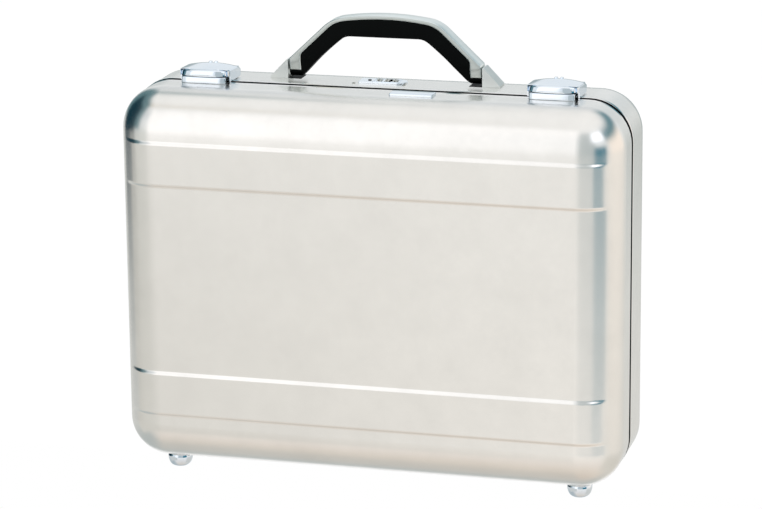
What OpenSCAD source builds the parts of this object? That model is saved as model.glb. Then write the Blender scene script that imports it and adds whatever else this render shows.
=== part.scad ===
// Hard attache case: two pressed aluminium shells with raised bands, a lift handle,
// two lever latches, a three-dial lock and domed feet. It stands on its feet, handle up.
// X runs across the case, Y from the front shell to the rear shell, Z up from the feet.

/* [Shells] */
// Width across the side walls
case_w = 460; // [400:1:560]
// Height of the shells, without feet and handle
case_h = 346; // [300:1:420]
// Depth of the front shell, from the parting plane to its flat face
front_depth = 63; // [56:1:90]
// Depth of the rear shell, from the parting plane to its flat face
rear_depth = 82; // [70:1:110]
// Radius of the pressed edges and corners
edge_r = 38; // [26:1:42]
// Sheet thickness of the shells
wall = 1.6; // [1.2:0.1:2.4]

/* [Raised bands] */
// Height of one raised band
band_w = 42.5; // [30:0.5:50]
// How far the bands stand out of the flat face
band_rise = 2.2; // [1:0.1:4]
// Run of the slope along each side of a band
band_slope = 2.6; // [1.5:0.1:5]
// From the top of the shells down to the upper band
upper_band_drop = 43.3; // [38:0.1:60]
// From the bottom of the shells up to the lower band
lower_band_lift = 46.6; // [38:0.1:60]

/* [Rim frames] */
// Width of the bead that shows on each side of the parting line
bead_w = 2.5; // [1.5:0.1:4]
// How far the bead stands out of the shell
bead_proud = 0.4; // [0.3:0.1:1.5]
// Gap between the two beads, filled by the gasket
rim_gap = 4; // [3:0.1:6]
// Thickness of the frame's flange and tongue
rim_t = 1.5; // [1:0.1:2]
// Length of the flange inside the shell
flange_l = 6; // [4:0.5:8]
// How far the tongue reaches into the front shell
tongue_l = 5; // [3:0.5:6]
// Clearance between the tongue and the front frame
tongue_clear = 0.5; // [0.4:0.05:0.8]
// Depth of the gasket's face below the shell surface
gasket_sunk = 0.1; // [0:0.1:1]

/* [Lining] */
// Thickness of the lining
liner_t = 2; // [1.5:0.1:3]
// Height of the pocket in the front shell
pocket_h = 210; // [150:1:230]
// Width of the pocket in the front shell
pocket_w = 372; // [280:1:380]
// Depth of the pocket
pocket_d = 13; // [9:0.5:16]
// Thickness of the pocket's board and gussets
pocket_t = 1.8; // [1.2:0.1:3]
// How far the middle of the pocket lies below the middle of the case
pocket_drop = 20; // [0:1:30]
// Radius of a pen loop
loop_r = 7; // [6:0.1:9]
// Length of a pen loop
loop_h = 26; // [20:1:40]
// Thickness of a pen loop
loop_t = 1.2; // [0.8:0.1:1.4]
// Distance between the pen loops
loop_pitch = 20; // [19:0.5:26]

/* [Feet] */
// Height of the feet
foot_h = 14; // [12:0.5:20]
// Radius of the feet
foot_r = 11.4; // [9:0.1:13]
// Radius of the flat land a foot stands on
foot_land_r = 5; // [3:0.1:6]
// From the middle of the case to the feet
foot_x = 188.5; // [150:0.5:189]
// From the parting plane to the front feet
front_foot_y = 17.5; // [17.5:0.5:19]
// From the parting plane to the rear feet
rear_foot_y = 26; // [18:0.5:32]
// Radius of a foot's shank
foot_shank_r = 3; // [2:0.1:4]

/* [Hinges] */
// From the middle of the case to each hinge
hinge_x = 115; // [80:1:130]
// Length of one hinge
hinge_l = 60; // [45:1:80]
// Radius of the hinge knuckles
knuckle_r = 3.2; // [2.6:0.1:3.6]
// Radius of the hinge pins
hinge_pin_r = 1.4; // [1:0.1:1.6]
// Thickness of the hinge leaves
leaf_t = 1.5; // [1.2:0.1:2]
// Reach of the leaves from the parting plane
leaf_reach = 21; // [19:0.5:26]

/* [Latches] */
// From the middle of the case to each latch
latch_x = 160; // [140:1:170]
// Width of a lever at its widest
lever_w = 47; // [42:0.5:54]
// Width of a lever's nose and of the catch under it
nose_w = 41; // [36:0.5:46]
// Height of a lever's top over the shell, at the nose
lever_h = 12.6; // [11:0.1:15]
// Thickness of the walls of a lever
lever_t = 1.5; // [1.2:0.1:2]
// Reach of the nose in front of the parting plane
nose_reach = 12; // [10.5:0.5:15]
// Height of the catch block
catch_h = 6; // [5:0.1:7]
// From the parting plane to the lever's pin
lever_pin_y = 23; // [20:0.5:25]
// Height of the lever's pin over the shell
lever_pin_h = 6.5; // [6:0.1:8]
// Radius of the lever's pin
lever_pin_r = 1.5; // [1:0.1:1.8]
// Width of the latch base between the outer faces of its ears
base_w = 38; // [32:0.5:38]

/* [Handle] */
// From the middle of the case to the middle of the handle
handle_x = -1.8; // [-6:0.1:6]
// From the parting plane to the middle of the handle
handle_y = 38; // [34:0.5:40]
// Thickness of the handle, front to rear
handle_t = 21; // [16:0.5:24]
// Height of the handle's top over the shell
handle_h = 60.5; // [56:0.5:70]
// Half of the length across the handle's feet
handle_foot_x = 88.8; // [86:0.1:100]
// Half of the length of the handle's top, where its legs start
handle_top_x = 49.5; // [46:0.5:52]
// Radius of the handle's crowned top
handle_crown_r = 250; // [200:5:400]
// Radius of the handle's shoulders
shoulder_r = 17; // [12:0.5:19]
// Height of the grip section at the middle
grip_h = 18.6; // [16:0.1:21]
// Thickness of the metal cover over the grip
cover_t = 3.5; // [2.5:0.1:4]
// Width of the cover's foot blocks
block_w = 10; // [8:0.1:11]
// Height of the undersides of the foot blocks over the shell
block_low = 7.5; // [7:0.1:8]
// Width of a leg, level with the shell
leg_w = 9.5; // [8.5:0.1:12]
// Lean of the inner sides of the legs, in degrees
gap_lean = 42; // [40:0.5:44]
// Radius of the upper corners of the finger gap
gap_corner_r = 40; // [30:1:44]
// Gap between a leg and its bracket
leg_gap = 1.3; // [0.6:0.1:2]
// Height of the handle's pin over the shell
handle_pin_h = 8.6; // [8.4:0.1:10]
// Radius of the handle's hubs
hub_r = 7.8; // [6.5:0.1:8]
// Radius of the handle's pins
handle_pin_r = 2.5; // [2:0.1:3]
// Width of a bracket's foot on the shell
bracket_w = 16.5; // [14:0.5:22]
// Height of a bracket
bracket_h = 18.5; // [17:0.5:22]

/* [Lock] */
// From the middle of the case to the middle of the lock
lock_x = -3; // [-20:0.5:10]
// From the parting plane to the middle of the lock
lock_y = 30; // [26:0.5:31]
// Length of the lock plate
plate_l = 44; // [42:0.5:56]
// Width of the lock plate
plate_w = 17; // [16:0.5:22]
// Height of the lock plate over the shell
plate_h = 2.2; // [1.5:0.1:3]
// Radius of a number dial
dial_r = 6.2; // [5.5:0.1:6.4]
// Width of a number dial
dial_w = 3.8; // [3:0.1:5]
// From the middle of the lock to the middle dial
dial_shift = 3.6; // [2:0.1:4]
// Distance between the dials
dial_pitch = 7.4; // [6.5:0.1:8.5]
// How far a dial stands out of the lock plate
dial_proud = 0.6; // [0.3:0.1:1]
// Radius of the dials' axle
axle_r = 1.25; // [1:0.05:1.6]
// From the middle of the lock to the reset button
button_shift = 12.9; // [12.5:0.1:13.5]
// Radius of the reset button
button_r = 1.6; // [1.2:0.1:2]

/* [Name plate] */
// From the middle of the case to the middle of the blank plate
badge_x = 36; // [30:0.5:60]
// Length of the blank plate
badge_l = 39.5; // [25:0.5:50]
// Width of the blank plate
badge_w = 15.5; // [10:0.5:16]
// Height of the blank plate over the shell
badge_h = 2.6; // [1.5:0.1:3.2]

/* [Fits] */
// Clearance between pieces that slot into each other
slip = 0.25; // [0.2:0.01:0.3]
// Radial clearance of a turning fit
running = 0.05; // [0.03:0.01:0.1]
// Radius of the rivets
rivet_r = 1.5; // [1.2:0.1:1.8]
// Radius of the rivet heads
head_r = 2.6; // [2.2:0.1:3]
// Height of the rivet heads
head_h = 1.1; // [0.8:0.1:1.3]

/* [Hidden] */
$fn = 96;

left = -1;
right = 1;
part_y = (front_depth - rear_depth) / 2;
eps = 0.01;

// Offsets below the outer outline of the shells
mouth = rim_gap / 2 + bead_w;
flange_out = wall + running;
flange_in = flange_out + rim_t;
tongue_out = flange_in + tongue_clear;
tongue_in = tongue_out + rim_t;
liner_out = flange_in + slip;
liner_in = liner_out + liner_t;
rear_liner_start = mouth + slip + rim_t;
front_liner_start = tongue_l + 2 * rim_t;
rail_start = mouth + flange_l + 2 * slip;
rail_t = liner_out - wall - 1.2 * slip;
loop_side = 2 * loop_pitch;
loop_drop = 2 * loop_r;
loop_sunk = 2;
loop_tab = 1.5;

// Hinge line, below the shells
bead_clear = 0.3;
hinge_z = -(bead_proud + bead_clear + knuckle_r);
knuckles = 5;
knuckle_gap = 0.4;
knuckle_l = (hinge_l - (knuckles - 1) * knuckle_gap) / knuckles;
hinge_rivet_y = mouth + flange_l + head_r + 4 * slip;
hinge_rivet_dx = hinge_l * 0.36;

// Latches
ear_t = 2;
ear_r = 3.9;
base_t = 1.2;
base_start = mouth + 2 * slip;
base_end = lever_pin_y - ear_r;
lever_end_r = lever_pin_h - 2 * slip;
lever_rise = 1;
skirt_h = bead_proud + 2.4 * slip;
nose_gap = 0.45;
claw_w = 11;
claw_t = 2.2;
claw_y = 7;
claw_low = bead_proud + 5 * slip;
crown_r = 210;
latch_rivet_y = rail_start + head_r + slip;
latch_rivet_dx = base_w / 4;
catch_rivet_y = mouth + flange_l / 2 + 0.5;
catch_rivet_dx = nose_w / 2 - 6;

// Handle: its legs lean in from the brackets to the crowned top
grip_t = handle_t - 1;
handle_swing = 75;
crown_mid_h = handle_h - handle_crown_r;
leg_top_h = crown_mid_h + sqrt(handle_crown_r * handle_crown_r - handle_top_x * handle_top_x);
lean = atan((handle_foot_x - handle_top_x) / (leg_top_h - bracket_h));
leg_line = handle_foot_x * cos(lean) + bracket_h * sin(lean);
shoulder_line = leg_line - shoulder_r;
shoulder_rise = sqrt(pow(handle_crown_r - shoulder_r, 2) - pow(shoulder_line - crown_mid_h * sin(lean), 2));
shoulder_along = crown_mid_h * cos(lean) + shoulder_rise;
shoulder_x = shoulder_line * cos(lean) - shoulder_along * sin(lean);
shoulder_h = shoulder_line * sin(lean) + shoulder_along * cos(lean);
bend_r = 3;
foot_in_x = handle_foot_x - block_w;
foot_in_bend_r = 5.5;
hub_top = handle_pin_h + hub_r + slip;
handle_pin_in = gap_x(handle_pin_h - handle_pin_r) + 5 * slip;
bracket_in_x = handle_foot_x + leg_gap;
bracket_pin_reach = bracket_w * (1 - (handle_pin_h + handle_pin_r) / bracket_h) - 2 * slip;
bracket_lip = 1.5;
bracket_rivet_dx = bracket_w / 3;
bracket_rivet_dy = handle_t / 2 - head_r - 2;

// Lock
dial_axis_h = plate_h + dial_proud - dial_r;
dial_x = [for (i = [0:2]) lock_x + dial_shift + (i - 1) * dial_pitch];
dial_notches = 20;
lock_case_t = 1;
lock_case_l = 4 * dial_pitch + 2 * dial_w;
lock_case_w = 2 * (dial_r + slip + lock_case_t);
lock_case_h = dial_r - dial_axis_h + lock_case_t + 4 * slip;
slot_l = 2 * sqrt(dial_r * dial_r - dial_axis_h * dial_axis_h) + 6 * slip;
button_x = lock_x - button_shift;
button_sunk = 0.3;
button_flange_r = button_r + 0.6;
button_flange_h = 1.2;
button_flange_low = -bead_clear - button_flange_h;
spring_low = lock_case_t - lock_case_h;
axle_start = button_x + button_flange_r + lock_case_t + 2 * slip;

// Blank plate
badge_y = mouth + 2 * slip + badge_w / 2 + 4.5;
badge_pin_dx = badge_l / 2 - 5;

// Places a child whose origin is at the bottom middle of the parting plane
module place() {
    translate([0, part_y, foot_h]) children();
}

// The same, with heights counted from the top of the shells
module on_top() {
    translate([0, part_y, foot_h + case_h]) children();
}

// The same, counted from the middle of the handle
module on_handle() {
    on_top() translate([handle_x, 0, 0]) children();
}

// Mirrors a right-hand child over to the left
module on_side(side) {
    mirror([side == left ? 1 : 0, 0, 0]) children();
}

// Rounded outline of the shells, drawn "off" inside the outer one
module outline_2d(off) {
    w = case_w - 2 * off;
    h = case_h - 2 * off;
    r = edge_r - off;
    translate([0, case_h / 2]) {
        square([w - 2 * r, h], center = true);
        square([w, h - 2 * r], center = true);
        for (sx = [left, right], sy = [-1, 1])
            translate([sx * (w / 2 - r), sy * (h / 2 - r)]) circle(r);
    }
}

// Ring between two offsets of the outline, from y0 to y1
module ring(y0, y1, off_out, off_in) {
    translate([0, y1, 0]) rotate([90, 0, 0]) linear_extrude(y1 - y0) difference() {
        outline_2d(off_out);
        outline_2d(off_in);
    }
}

// Solid pressed form in front of y = -start, with its front edges and corners rounded
module pressed_form(depth, off, start) {
    w = case_w - 2 * off;
    h = case_h - 2 * off;
    d = depth - off;
    r = edge_r - off;
    x = w / 2 - r;
    z = h / 2 - r;
    translate([0, 0, case_h / 2]) intersection() {
        union() {
            translate([0, -start, -case_h / 2]) rotate([90, 0, 0])
                linear_extrude(d - r - start) outline_2d(off);
            translate([-x, -d, -z]) cube([2 * x, d, 2 * z]);
            for (s = [-1, 1]) {
                translate([-x, r - d, s * z]) rotate([0, 90, 0]) cylinder(r = r, h = 2 * x);
                translate([s * x, r - d, -z]) cylinder(r = r, h = 2 * z);
                for (t = [-1, 1]) translate([s * x, r - d, t * z]) sphere(r);
            }
        }
        translate([-case_w, -d - 1, -case_h]) cube([2 * case_w, d + 1 - start, 2 * case_h]);
    }
}

// Both raised bands, as prisms across the case that end in sloped sides
module band_prisms(depth, off) {
    lows = [lower_band_lift, case_h - upper_band_drop - band_w];
    face = depth - off;
    for (lo = lows) translate([-case_w / 2, 0, 0]) rotate([90, 0, 90]) linear_extrude(case_w)
        polygon([
            [edge_r - depth, lo + off],
            [-face, lo + off],
            [-face - band_rise, lo + band_slope + off],
            [-face - band_rise, lo + band_w - band_slope - off],
            [-face, lo + band_w - off],
            [edge_r - depth, lo + band_w - off]
        ]);
}

// Pressed form with the bands raised on it
module banded_form(depth, off, start) {
    pressed_form(depth, off, start);
    intersection() {
        pressed_form(depth + band_rise, off, start);
        band_prisms(depth, off);
    }
}

// One pressed shell without holes
module shell_blank(depth) {
    difference() {
        banded_form(depth, 0, mouth);
        banded_form(depth, wall, mouth - 1);
    }
}

// Lining tray, open at the mouth, that follows the shell without its bands
module liner_tray(depth, start) {
    difference() {
        pressed_form(depth, liner_out, start);
        pressed_form(depth, liner_in, start - 1);
    }
}

// Upright rod with its lower end at z0
module rod(x, y, z0, z1, r) {
    translate([x, y, z0]) cylinder(r = r, h = z1 - z0);
}

// Rod along X
module cross_rod(x0, x1, y, z, r) {
    translate([x0, y, z]) rotate([0, 90, 0]) cylinder(r = r, h = x1 - x0);
}

// ---- rear half -------------------------------------------------------------------------

module rear_foot_holes(r) {
    for (s = [left, right]) rod(s * foot_x, rear_foot_y, -1, wall + 1, r);
}

module hinge_rivet_places(side) {
    for (s = [left, right], d = [-1, 0, 1])
        translate([s * hinge_x + d * hinge_rivet_dx, side * hinge_rivet_y, 0]) children();
}

module latch_rivet_places() {
    for (s = [left, right], d = [-1, 1])
        translate([s * latch_x + d * latch_rivet_dx, latch_rivet_y, case_h]) children();
}

module bracket_rivet_places() {
    for (s = [left, right], e = [-1, 1])
        translate([handle_x + s * (bracket_in_x + bracket_rivet_dx), handle_y + e * bracket_rivet_dy, case_h])
            children();
}

module lock_cut(clear) {
    translate([lock_x - lock_case_l / 2 - clear, lock_y - lock_case_w / 2 - clear, case_h - 2 * lock_case_h])
        cube([lock_case_l + 2 * clear, lock_case_w + 2 * clear, 2 * lock_case_h + 1]);
}

module rear_shell() {
    hole = rivet_r + running;
    color("gainsboro") place() difference() {
        mirror([0, 1, 0]) shell_blank(rear_depth);
        rear_foot_holes(foot_shank_r + running);
        hinge_rivet_places(1) cylinder(r = hole, h = 4 * wall, center = true);
        latch_rivet_places() cylinder(r = hole, h = 4 * wall, center = true);
        bracket_rivet_places() cylinder(r = hole, h = 4 * wall, center = true);
        lock_cut(slip);
    }
}

module rear_rim() {
    color("silver") place() {
        ring(rim_gap / 2, mouth, -bead_proud, flange_in);
        ring(mouth - eps, mouth + flange_l, flange_out, flange_in);
        ring(rim_gap / 2, mouth + rim_t, flange_in - eps, tongue_in);
        ring(-tongue_l, rim_gap / 2 + eps, tongue_out, tongue_in);
    }
}

module gasket() {
    color("dimgray") place() ring(bead_clear - rim_gap / 2, rim_gap / 2, gasket_sunk, tongue_out);
}

module hardware_rail() {
    hole = rivet_r + running;
    end = rear_depth - edge_r;
    half = latch_x + base_w / 2;
    color("lightgray") place() difference() {
        translate([-half, rail_start, case_h - wall - rail_t]) cube([2 * half, end - rail_start, rail_t]);
        latch_rivet_places() cylinder(r = hole, h = 8 * wall, center = true);
        bracket_rivet_places() cylinder(r = hole, h = 8 * wall, center = true);
        lock_cut(slip);
    }
}

module rear_liner() {
    color("dimgray") place() difference() {
        mirror([0, 1, 0]) liner_tray(rear_depth, rear_liner_start);
        lock_cut(slip);
    }
}

module rear_rivets() {
    color("silver") place() {
        hinge_rivet_places(1) {
            translate([0, 0, -leaf_t - head_h]) cylinder(r = head_r, h = head_h);
            translate([0, 0, -leaf_t - eps]) cylinder(r = rivet_r, h = leaf_t + wall + 2 * eps);
            translate([0, 0, wall]) cylinder(r = head_r, h = head_h);
        }
        latch_rivet_places() {
            translate([0, 0, base_t]) cylinder(r = head_r, h = head_h);
            translate([0, 0, -wall - rail_t]) cylinder(r = rivet_r, h = wall + rail_t + base_t + eps);
        }
        bracket_rivet_places()
            translate([0, 0, -wall - rail_t]) cylinder(r = rivet_r, h = wall + rail_t + bracket_h / 4);
    }
}

module latch_base(side) {
    color("silver") on_top() translate([side * latch_x, 0, 0]) difference() {
        union() {
            translate([-base_w / 2, base_start, 0]) cube([base_w, base_end - base_start, base_t]);
            for (s = [left, right]) {
                x0 = s == left ? -base_w / 2 : base_w / 2 - ear_t;
                cross_rod(x0, x0 + ear_t, lever_pin_y, lever_pin_h, ear_r);
                translate([x0, 0, 0]) rotate([90, 0, 90]) linear_extrude(ear_t) polygon([
                    [base_start + 4, 0],
                    [base_end, 0],
                    [lever_pin_y, lever_pin_h - ear_r],
                    [lever_pin_y, lever_pin_h + ear_r],
                    [base_start + 10, lever_pin_h + ear_r - 1]
                ]);
            }
        }
        cross_rod(-base_w, base_w, lever_pin_y, lever_pin_h, lever_pin_r);
        for (d = [-1, 1]) rod(d * latch_rivet_dx, latch_rivet_y, -1, base_t + 1, rivet_r + running);
    }
}

module latch_pin(side) {
    half = lever_w / 2 - lever_t;
    color("silver") on_top() translate([side * latch_x, 0, 0])
        cross_rod(-half + 2 * slip, half - 2 * slip, lever_pin_y, lever_pin_h, lever_pin_r);
}

module handle_bracket(side) {
    color("lightgray") on_handle() on_side(side) difference() {
        translate([bracket_in_x, handle_y + handle_t / 2, 0]) rotate([90, 0, 0])
            linear_extrude(handle_t) polygon([
                [0, 0],
                [bracket_w, 0],
                [bracket_w, bracket_lip],
                [bracket_lip, bracket_h],
                [0, bracket_h]
            ]);
        cross_rod(0, bracket_in_x + bracket_pin_reach + slip, handle_y, handle_pin_h, handle_pin_r);
        for (e = [-1, 1])
            rod(bracket_in_x + bracket_rivet_dx, handle_y + e * bracket_rivet_dy,
                -1, bracket_h / 4, rivet_r + running);
    }
}

module handle_pin(side) {
    color("silver") on_handle() on_side(side)
        cross_rod(handle_pin_in, bracket_in_x + bracket_pin_reach, handle_y, handle_pin_h, handle_pin_r);
}

module lock_plate() {
    r = plate_w / 2;
    color("lightsteelblue") on_top() difference() {
        translate([lock_x, lock_y, 0]) linear_extrude(plate_h) {
            translate([-plate_l / 2 + 1, -plate_w / 2]) square([plate_l - 1 - r, plate_w]);
            translate([plate_l / 2 - r, 0]) circle(r);
            translate([-plate_l / 2, -plate_w / 2 + 1]) square([r, plate_w - 2]);
        }
        for (x = dial_x) translate([x - dial_w / 2 - slip, lock_y - slot_l / 2, -1])
            cube([dial_w + 2 * slip, slot_l, plate_h + 2]);
        rod(button_x, lock_y, -1, plate_h + 1, button_r + running);
    }
}

module lock_case() {
    x0 = lock_x - lock_case_l / 2;
    y0 = lock_y - lock_case_w / 2;
    color("silver") on_top() difference() {
        translate([x0, y0, -lock_case_h]) cube([lock_case_l, lock_case_w, lock_case_h]);
        translate([x0 + lock_case_t, y0 + lock_case_t, lock_case_t - lock_case_h])
            cube([lock_case_l - 2 * lock_case_t, lock_case_w - 2 * lock_case_t, lock_case_h]);
        cross_rod(x0 - 1, x0 + lock_case_l + 1, lock_y, dial_axis_h, axle_r);
    }
}

// Axle with the post that carries its free end beside the reset button
module dial_axle() {
    y0 = lock_y - lock_case_w / 2 + lock_case_t;
    color("silver") on_top() {
        cross_rod(axle_start, lock_x + lock_case_l / 2, lock_y, dial_axis_h, axle_r);
        translate([axle_start - lock_case_t, y0, spring_low])
            cube([lock_case_t, lock_case_w - 2 * lock_case_t, dial_axis_h + axle_r + lock_case_t - spring_low]);
    }
}

module button_spring() {
    color("silver") on_top() difference() {
        rod(button_x, lock_y, spring_low, button_flange_low, button_flange_r);
        rod(button_x, lock_y, spring_low - 1, button_flange_low + 1, button_r);
    }
}

// Knuckles start..knuckles-1 in steps of two, with their necks up to the leaf plate
module hinge_leaf(side, half, start) {
    leaf_start = mouth + slip;
    color("silver") place() translate([side * hinge_x, 0, 0]) difference() {
        union() {
            translate([-hinge_l / 2, half > 0 ? leaf_start : -leaf_reach, -leaf_t])
                cube([hinge_l, leaf_reach - leaf_start, leaf_t]);
            for (i = [start:2:knuckles - 1]) {
                x0 = i * (knuckle_l + knuckle_gap) - hinge_l / 2;
                neck_t = leaf_t + 0.3;
                neck_top = -bead_proud - bead_clear;
                cross_rod(x0, x0 + knuckle_l, 0, hinge_z, knuckle_r);
                translate([x0, half > 0 ? 0 : -leaf_start - 1, neck_top - neck_t])
                    cube([knuckle_l, leaf_start + 1, neck_t]);
                translate([x0, half > 0 ? leaf_start : -leaf_start - 1, neck_top - neck_t])
                    cube([knuckle_l, 1, neck_t - neck_top]);
            }
        }
        cross_rod(-hinge_l, hinge_l, 0, hinge_z, hinge_pin_r + running * (1 - half) / 2);
        for (d = [-1, 0, 1])
            rod(d * hinge_rivet_dx, half * hinge_rivet_y, -2 * leaf_t, leaf_t, rivet_r + running);
    }
}

module hinge_pin(side) {
    color("silver") place()
        cross_rod(side * hinge_x - hinge_l / 2, side * hinge_x + hinge_l / 2, 0, hinge_z, hinge_pin_r);
}

// Domed stud with a flat land, its shank through the shell and its nut inside
module foot(side, y) {
    nut_h = 1.4;
    dome_r = foot_r + 4.5;
    color("lightsteelblue") place() translate([side * foot_x, y, 0]) {
        rotate_extrude() intersection() {
            translate([0, -foot_h]) square([foot_r, foot_h]);
            translate([foot_r - dome_r, -foot_h / 3]) circle(dome_r);
            polygon([
                [0, 0],
                [foot_r, 0],
                [foot_r, -foot_h * 0.45],
                [foot_r * 0.86, -foot_h * 0.8],
                [foot_land_r, -foot_h],
                [0, -foot_h]
            ]);
        }
        cylinder(r = foot_shank_r, h = wall + eps);
        translate([0, 0, wall]) cylinder(r = foot_shank_r + 2, h = nut_h, $fn = 6);
    }
}

// ---- front half ------------------------------------------------------------------------

module catch_rivet_places() {
    for (s = [left, right], d = [-1, 1])
        translate([s * latch_x + d * catch_rivet_dx, -catch_rivet_y, case_h]) children();
}

module badge_pin_places() {
    for (d = [-1, 1]) translate([badge_x + d * badge_pin_dx, -badge_y, case_h]) children();
}

module front_shell() {
    hole = rivet_r + running;
    color("gainsboro") place() difference() {
        shell_blank(front_depth);
        for (s = [left, right]) rod(s * foot_x, -front_foot_y, -1, wall + 1, foot_shank_r + running);
        hinge_rivet_places(-1) cylinder(r = hole, h = 4 * wall, center = true);
        catch_rivet_places() cylinder(r = hole, h = 4 * wall, center = true);
        badge_pin_places() cylinder(r = hole, h = 4 * wall, center = true);
    }
}

module front_rim() {
    color("silver") place() difference() {
        union() {
            ring(-mouth, -rim_gap / 2, -bead_proud, flange_in);
            ring(-mouth - flange_l, -mouth + eps, flange_out, flange_in);
        }
        catch_rivet_places() cylinder(r = rivet_r + running, h = 8 * wall, center = true);
    }
}

module front_liner() {
    color("dimgray") place() liner_tray(front_depth, front_liner_start);
}

module front_rivets() {
    color("silver") place() {
        hinge_rivet_places(-1) {
            translate([0, 0, -leaf_t - head_h]) cylinder(r = head_r, h = head_h);
            translate([0, 0, -leaf_t - eps]) cylinder(r = rivet_r, h = leaf_t + wall + 2 * eps);
            translate([0, 0, wall]) cylinder(r = head_r, h = head_h);
        }
        catch_rivet_places()
            translate([0, 0, -flange_in]) cylinder(r = rivet_r, h = flange_in + catch_h / 2);
        badge_pin_places() {
            translate([0, 0, -wall - head_h]) cylinder(r = head_r, h = head_h);
            translate([0, 0, -wall - eps]) cylinder(r = rivet_r, h = wall + badge_h / 2 + eps);
        }
    }
}

// Board and gussets of a flat pocket, open at its top, on the lining's face
module document_pocket() {
    face = liner_in - front_depth;
    low = (case_h - pocket_h) / 2 - pocket_drop;
    color("dimgray") place() translate([-pocket_w / 2, face, low]) {
        translate([0, pocket_d - pocket_t, 0]) cube([pocket_w, pocket_t, pocket_h]);
        cube([pocket_w, pocket_d, pocket_t]);
        cube([pocket_t, pocket_d, pocket_h]);
        translate([pocket_w - pocket_t, 0, 0]) cube([pocket_t, pocket_d, pocket_h]);
    }
}

// Three loops for pens on the face of the pocket
module pen_loops() {
    face = liner_in - front_depth + pocket_d;
    top = (case_h + pocket_h) / 2 - pocket_drop;
    color("black") place() for (i = [0:2])
        translate([pocket_w / 2 - loop_side - i * loop_pitch, face, top - loop_h - loop_drop]) difference() {
            union() {
                translate([0, loop_r - loop_sunk, 0]) cylinder(r = loop_r, h = loop_h);
                translate([-loop_r - loop_tab, 0, 0]) cube([2 * (loop_r + loop_tab), loop_t, loop_h]);
            }
            translate([0, loop_r - loop_sunk, -1]) cylinder(r = loop_r - loop_t, h = loop_h + 2);
            translate([-2 * loop_r, -2 * loop_r, -1]) cube([4 * loop_r, 2 * loop_r, loop_h + 2]);
        }
}

// Block that a lever's nose closes over; its notch is open towards the rear
module catch_block(side) {
    back = mouth + 2 * slip;
    notch_front = claw_y + claw_t + 0.6;
    color("lightsteelblue") on_top() translate([side * latch_x, 0, 0]) difference() {
        translate([-nose_w / 2, -nose_reach, 0]) cube([nose_w, nose_reach - back, catch_h]);
        translate([-claw_w / 2 - 1, -notch_front, claw_low - 3 * slip])
            cube([claw_w + 2, notch_front, catch_h]);
        for (d = [-1, 1])
            rod(d * catch_rivet_dx, -catch_rivet_y, -1, catch_h / 2, rivet_r + running);
    }
}

module badge_plate() {
    color("lightsteelblue") on_top() difference() {
        translate([badge_x, -badge_y, 0]) linear_extrude(badge_h) {
            square([badge_l - 2, badge_w], center = true);
            square([badge_l, badge_w - 2], center = true);
        }
        for (d = [-1, 1])
            rod(badge_x + d * badge_pin_dx, -badge_y, -1, badge_h / 2, rivet_r + running);
    }
}

// ---- handle ----------------------------------------------------------------------------

// Half length of the finger gap at a height, along the inner side of the legs
function gap_x(h) = handle_foot_x - leg_w - h * tan(gap_lean);

// Mirrors the points of a right-hand outline and joins them to the left-hand ones
function both_sides(points) =
    let (last = len(points) - 1)
    concat(points, [for (i = [0:last]) [-points[last - i][0], points[last - i][1]]]);

// Front view of the whole handle, filled between the legs: crown and shoulders drawn "off"
// inside their outside, and legs that bend with radius "bend" into upright feet at "foot"
module handle_front_2d(off, foot, bend) {
    blend = shoulder_r - off;
    to_crown = (handle_crown_r - off) / (handle_crown_r - shoulder_r);
    bend_x = foot - bend;
    bend_h = (leg_line - off - bend - bend_x * cos(lean)) / sin(lean);
    intersection() {
        translate([0, crown_mid_h]) circle(handle_crown_r - off, $fn = 360);
        union() {
            for (s = [left, right]) {
                translate([s * shoulder_x, shoulder_h]) circle(blend);
                translate([s * bend_x, bend_h]) circle(bend);
            }
            polygon(both_sides([
                [0, 2 * handle_h],
                [shoulder_x * to_crown, crown_mid_h + (shoulder_h - crown_mid_h) * to_crown],
                [shoulder_x, shoulder_h],
                [shoulder_x + blend * cos(lean), shoulder_h + blend * sin(lean)],
                [bend_x + bend * cos(lean), bend_h + bend * sin(lean)],
                [foot, bend_h],
                [foot, 0]
            ]));
        }
    }
}

// Front view of what the cover wraps around
module handle_inside_2d() {
    handle_front_2d(cover_t, foot_in_x, foot_in_bend_r);
}

// Front view of the finger gap, open at the bottom
module handle_gap_2d() {
    top = handle_h - grip_h;
    corner_h = top - gap_corner_r;
    corner_x = gap_x(corner_h) - gap_corner_r / cos(gap_lean);
    for (s = [left, right]) translate([s * corner_x, corner_h]) circle(gap_corner_r);
    polygon(both_sides([
        [corner_x, top],
        [corner_x + gap_corner_r * cos(gap_lean), corner_h + gap_corner_r * sin(gap_lean)],
        [gap_x(-1), -1]
    ]));
}

// Room above the foot blocks' undersides that clears the shell over the whole swing
module swing_wedge() {
    function half(h) =
        (handle_pin_h - bead_clear + (h - handle_pin_h) * cos(handle_swing)) / sin(handle_swing);
    low = block_low;
    top = 2 * handle_h;
    translate([-case_w, handle_y, 0]) rotate([90, 0, 90]) linear_extrude(2 * case_w)
        polygon([[-half(low), low], [half(low), low], [half(top), top], [-half(top), top]]);
}

module handle_cover() {
    color("lightgray") on_handle() difference() {
        intersection() {
            translate([0, handle_y + handle_t / 2, 0]) rotate([90, 0, 0]) linear_extrude(handle_t)
                difference() {
                    handle_front_2d(0, handle_foot_x, bend_r);
                    handle_inside_2d();
                }
            swing_wedge();
        }
        cross_rod(-case_w, case_w, handle_y, handle_pin_h, handle_pin_r + bead_clear);
    }
}

module handle_grip() {
    color("black") on_handle() translate([0, handle_y + grip_t / 2, 0]) rotate([90, 0, 0])
        linear_extrude(grip_t) difference() {
            handle_inside_2d();
            handle_gap_2d();
            translate([-case_w, hub_top - case_h]) square([2 * case_w, case_h]);
        }
}

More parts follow.
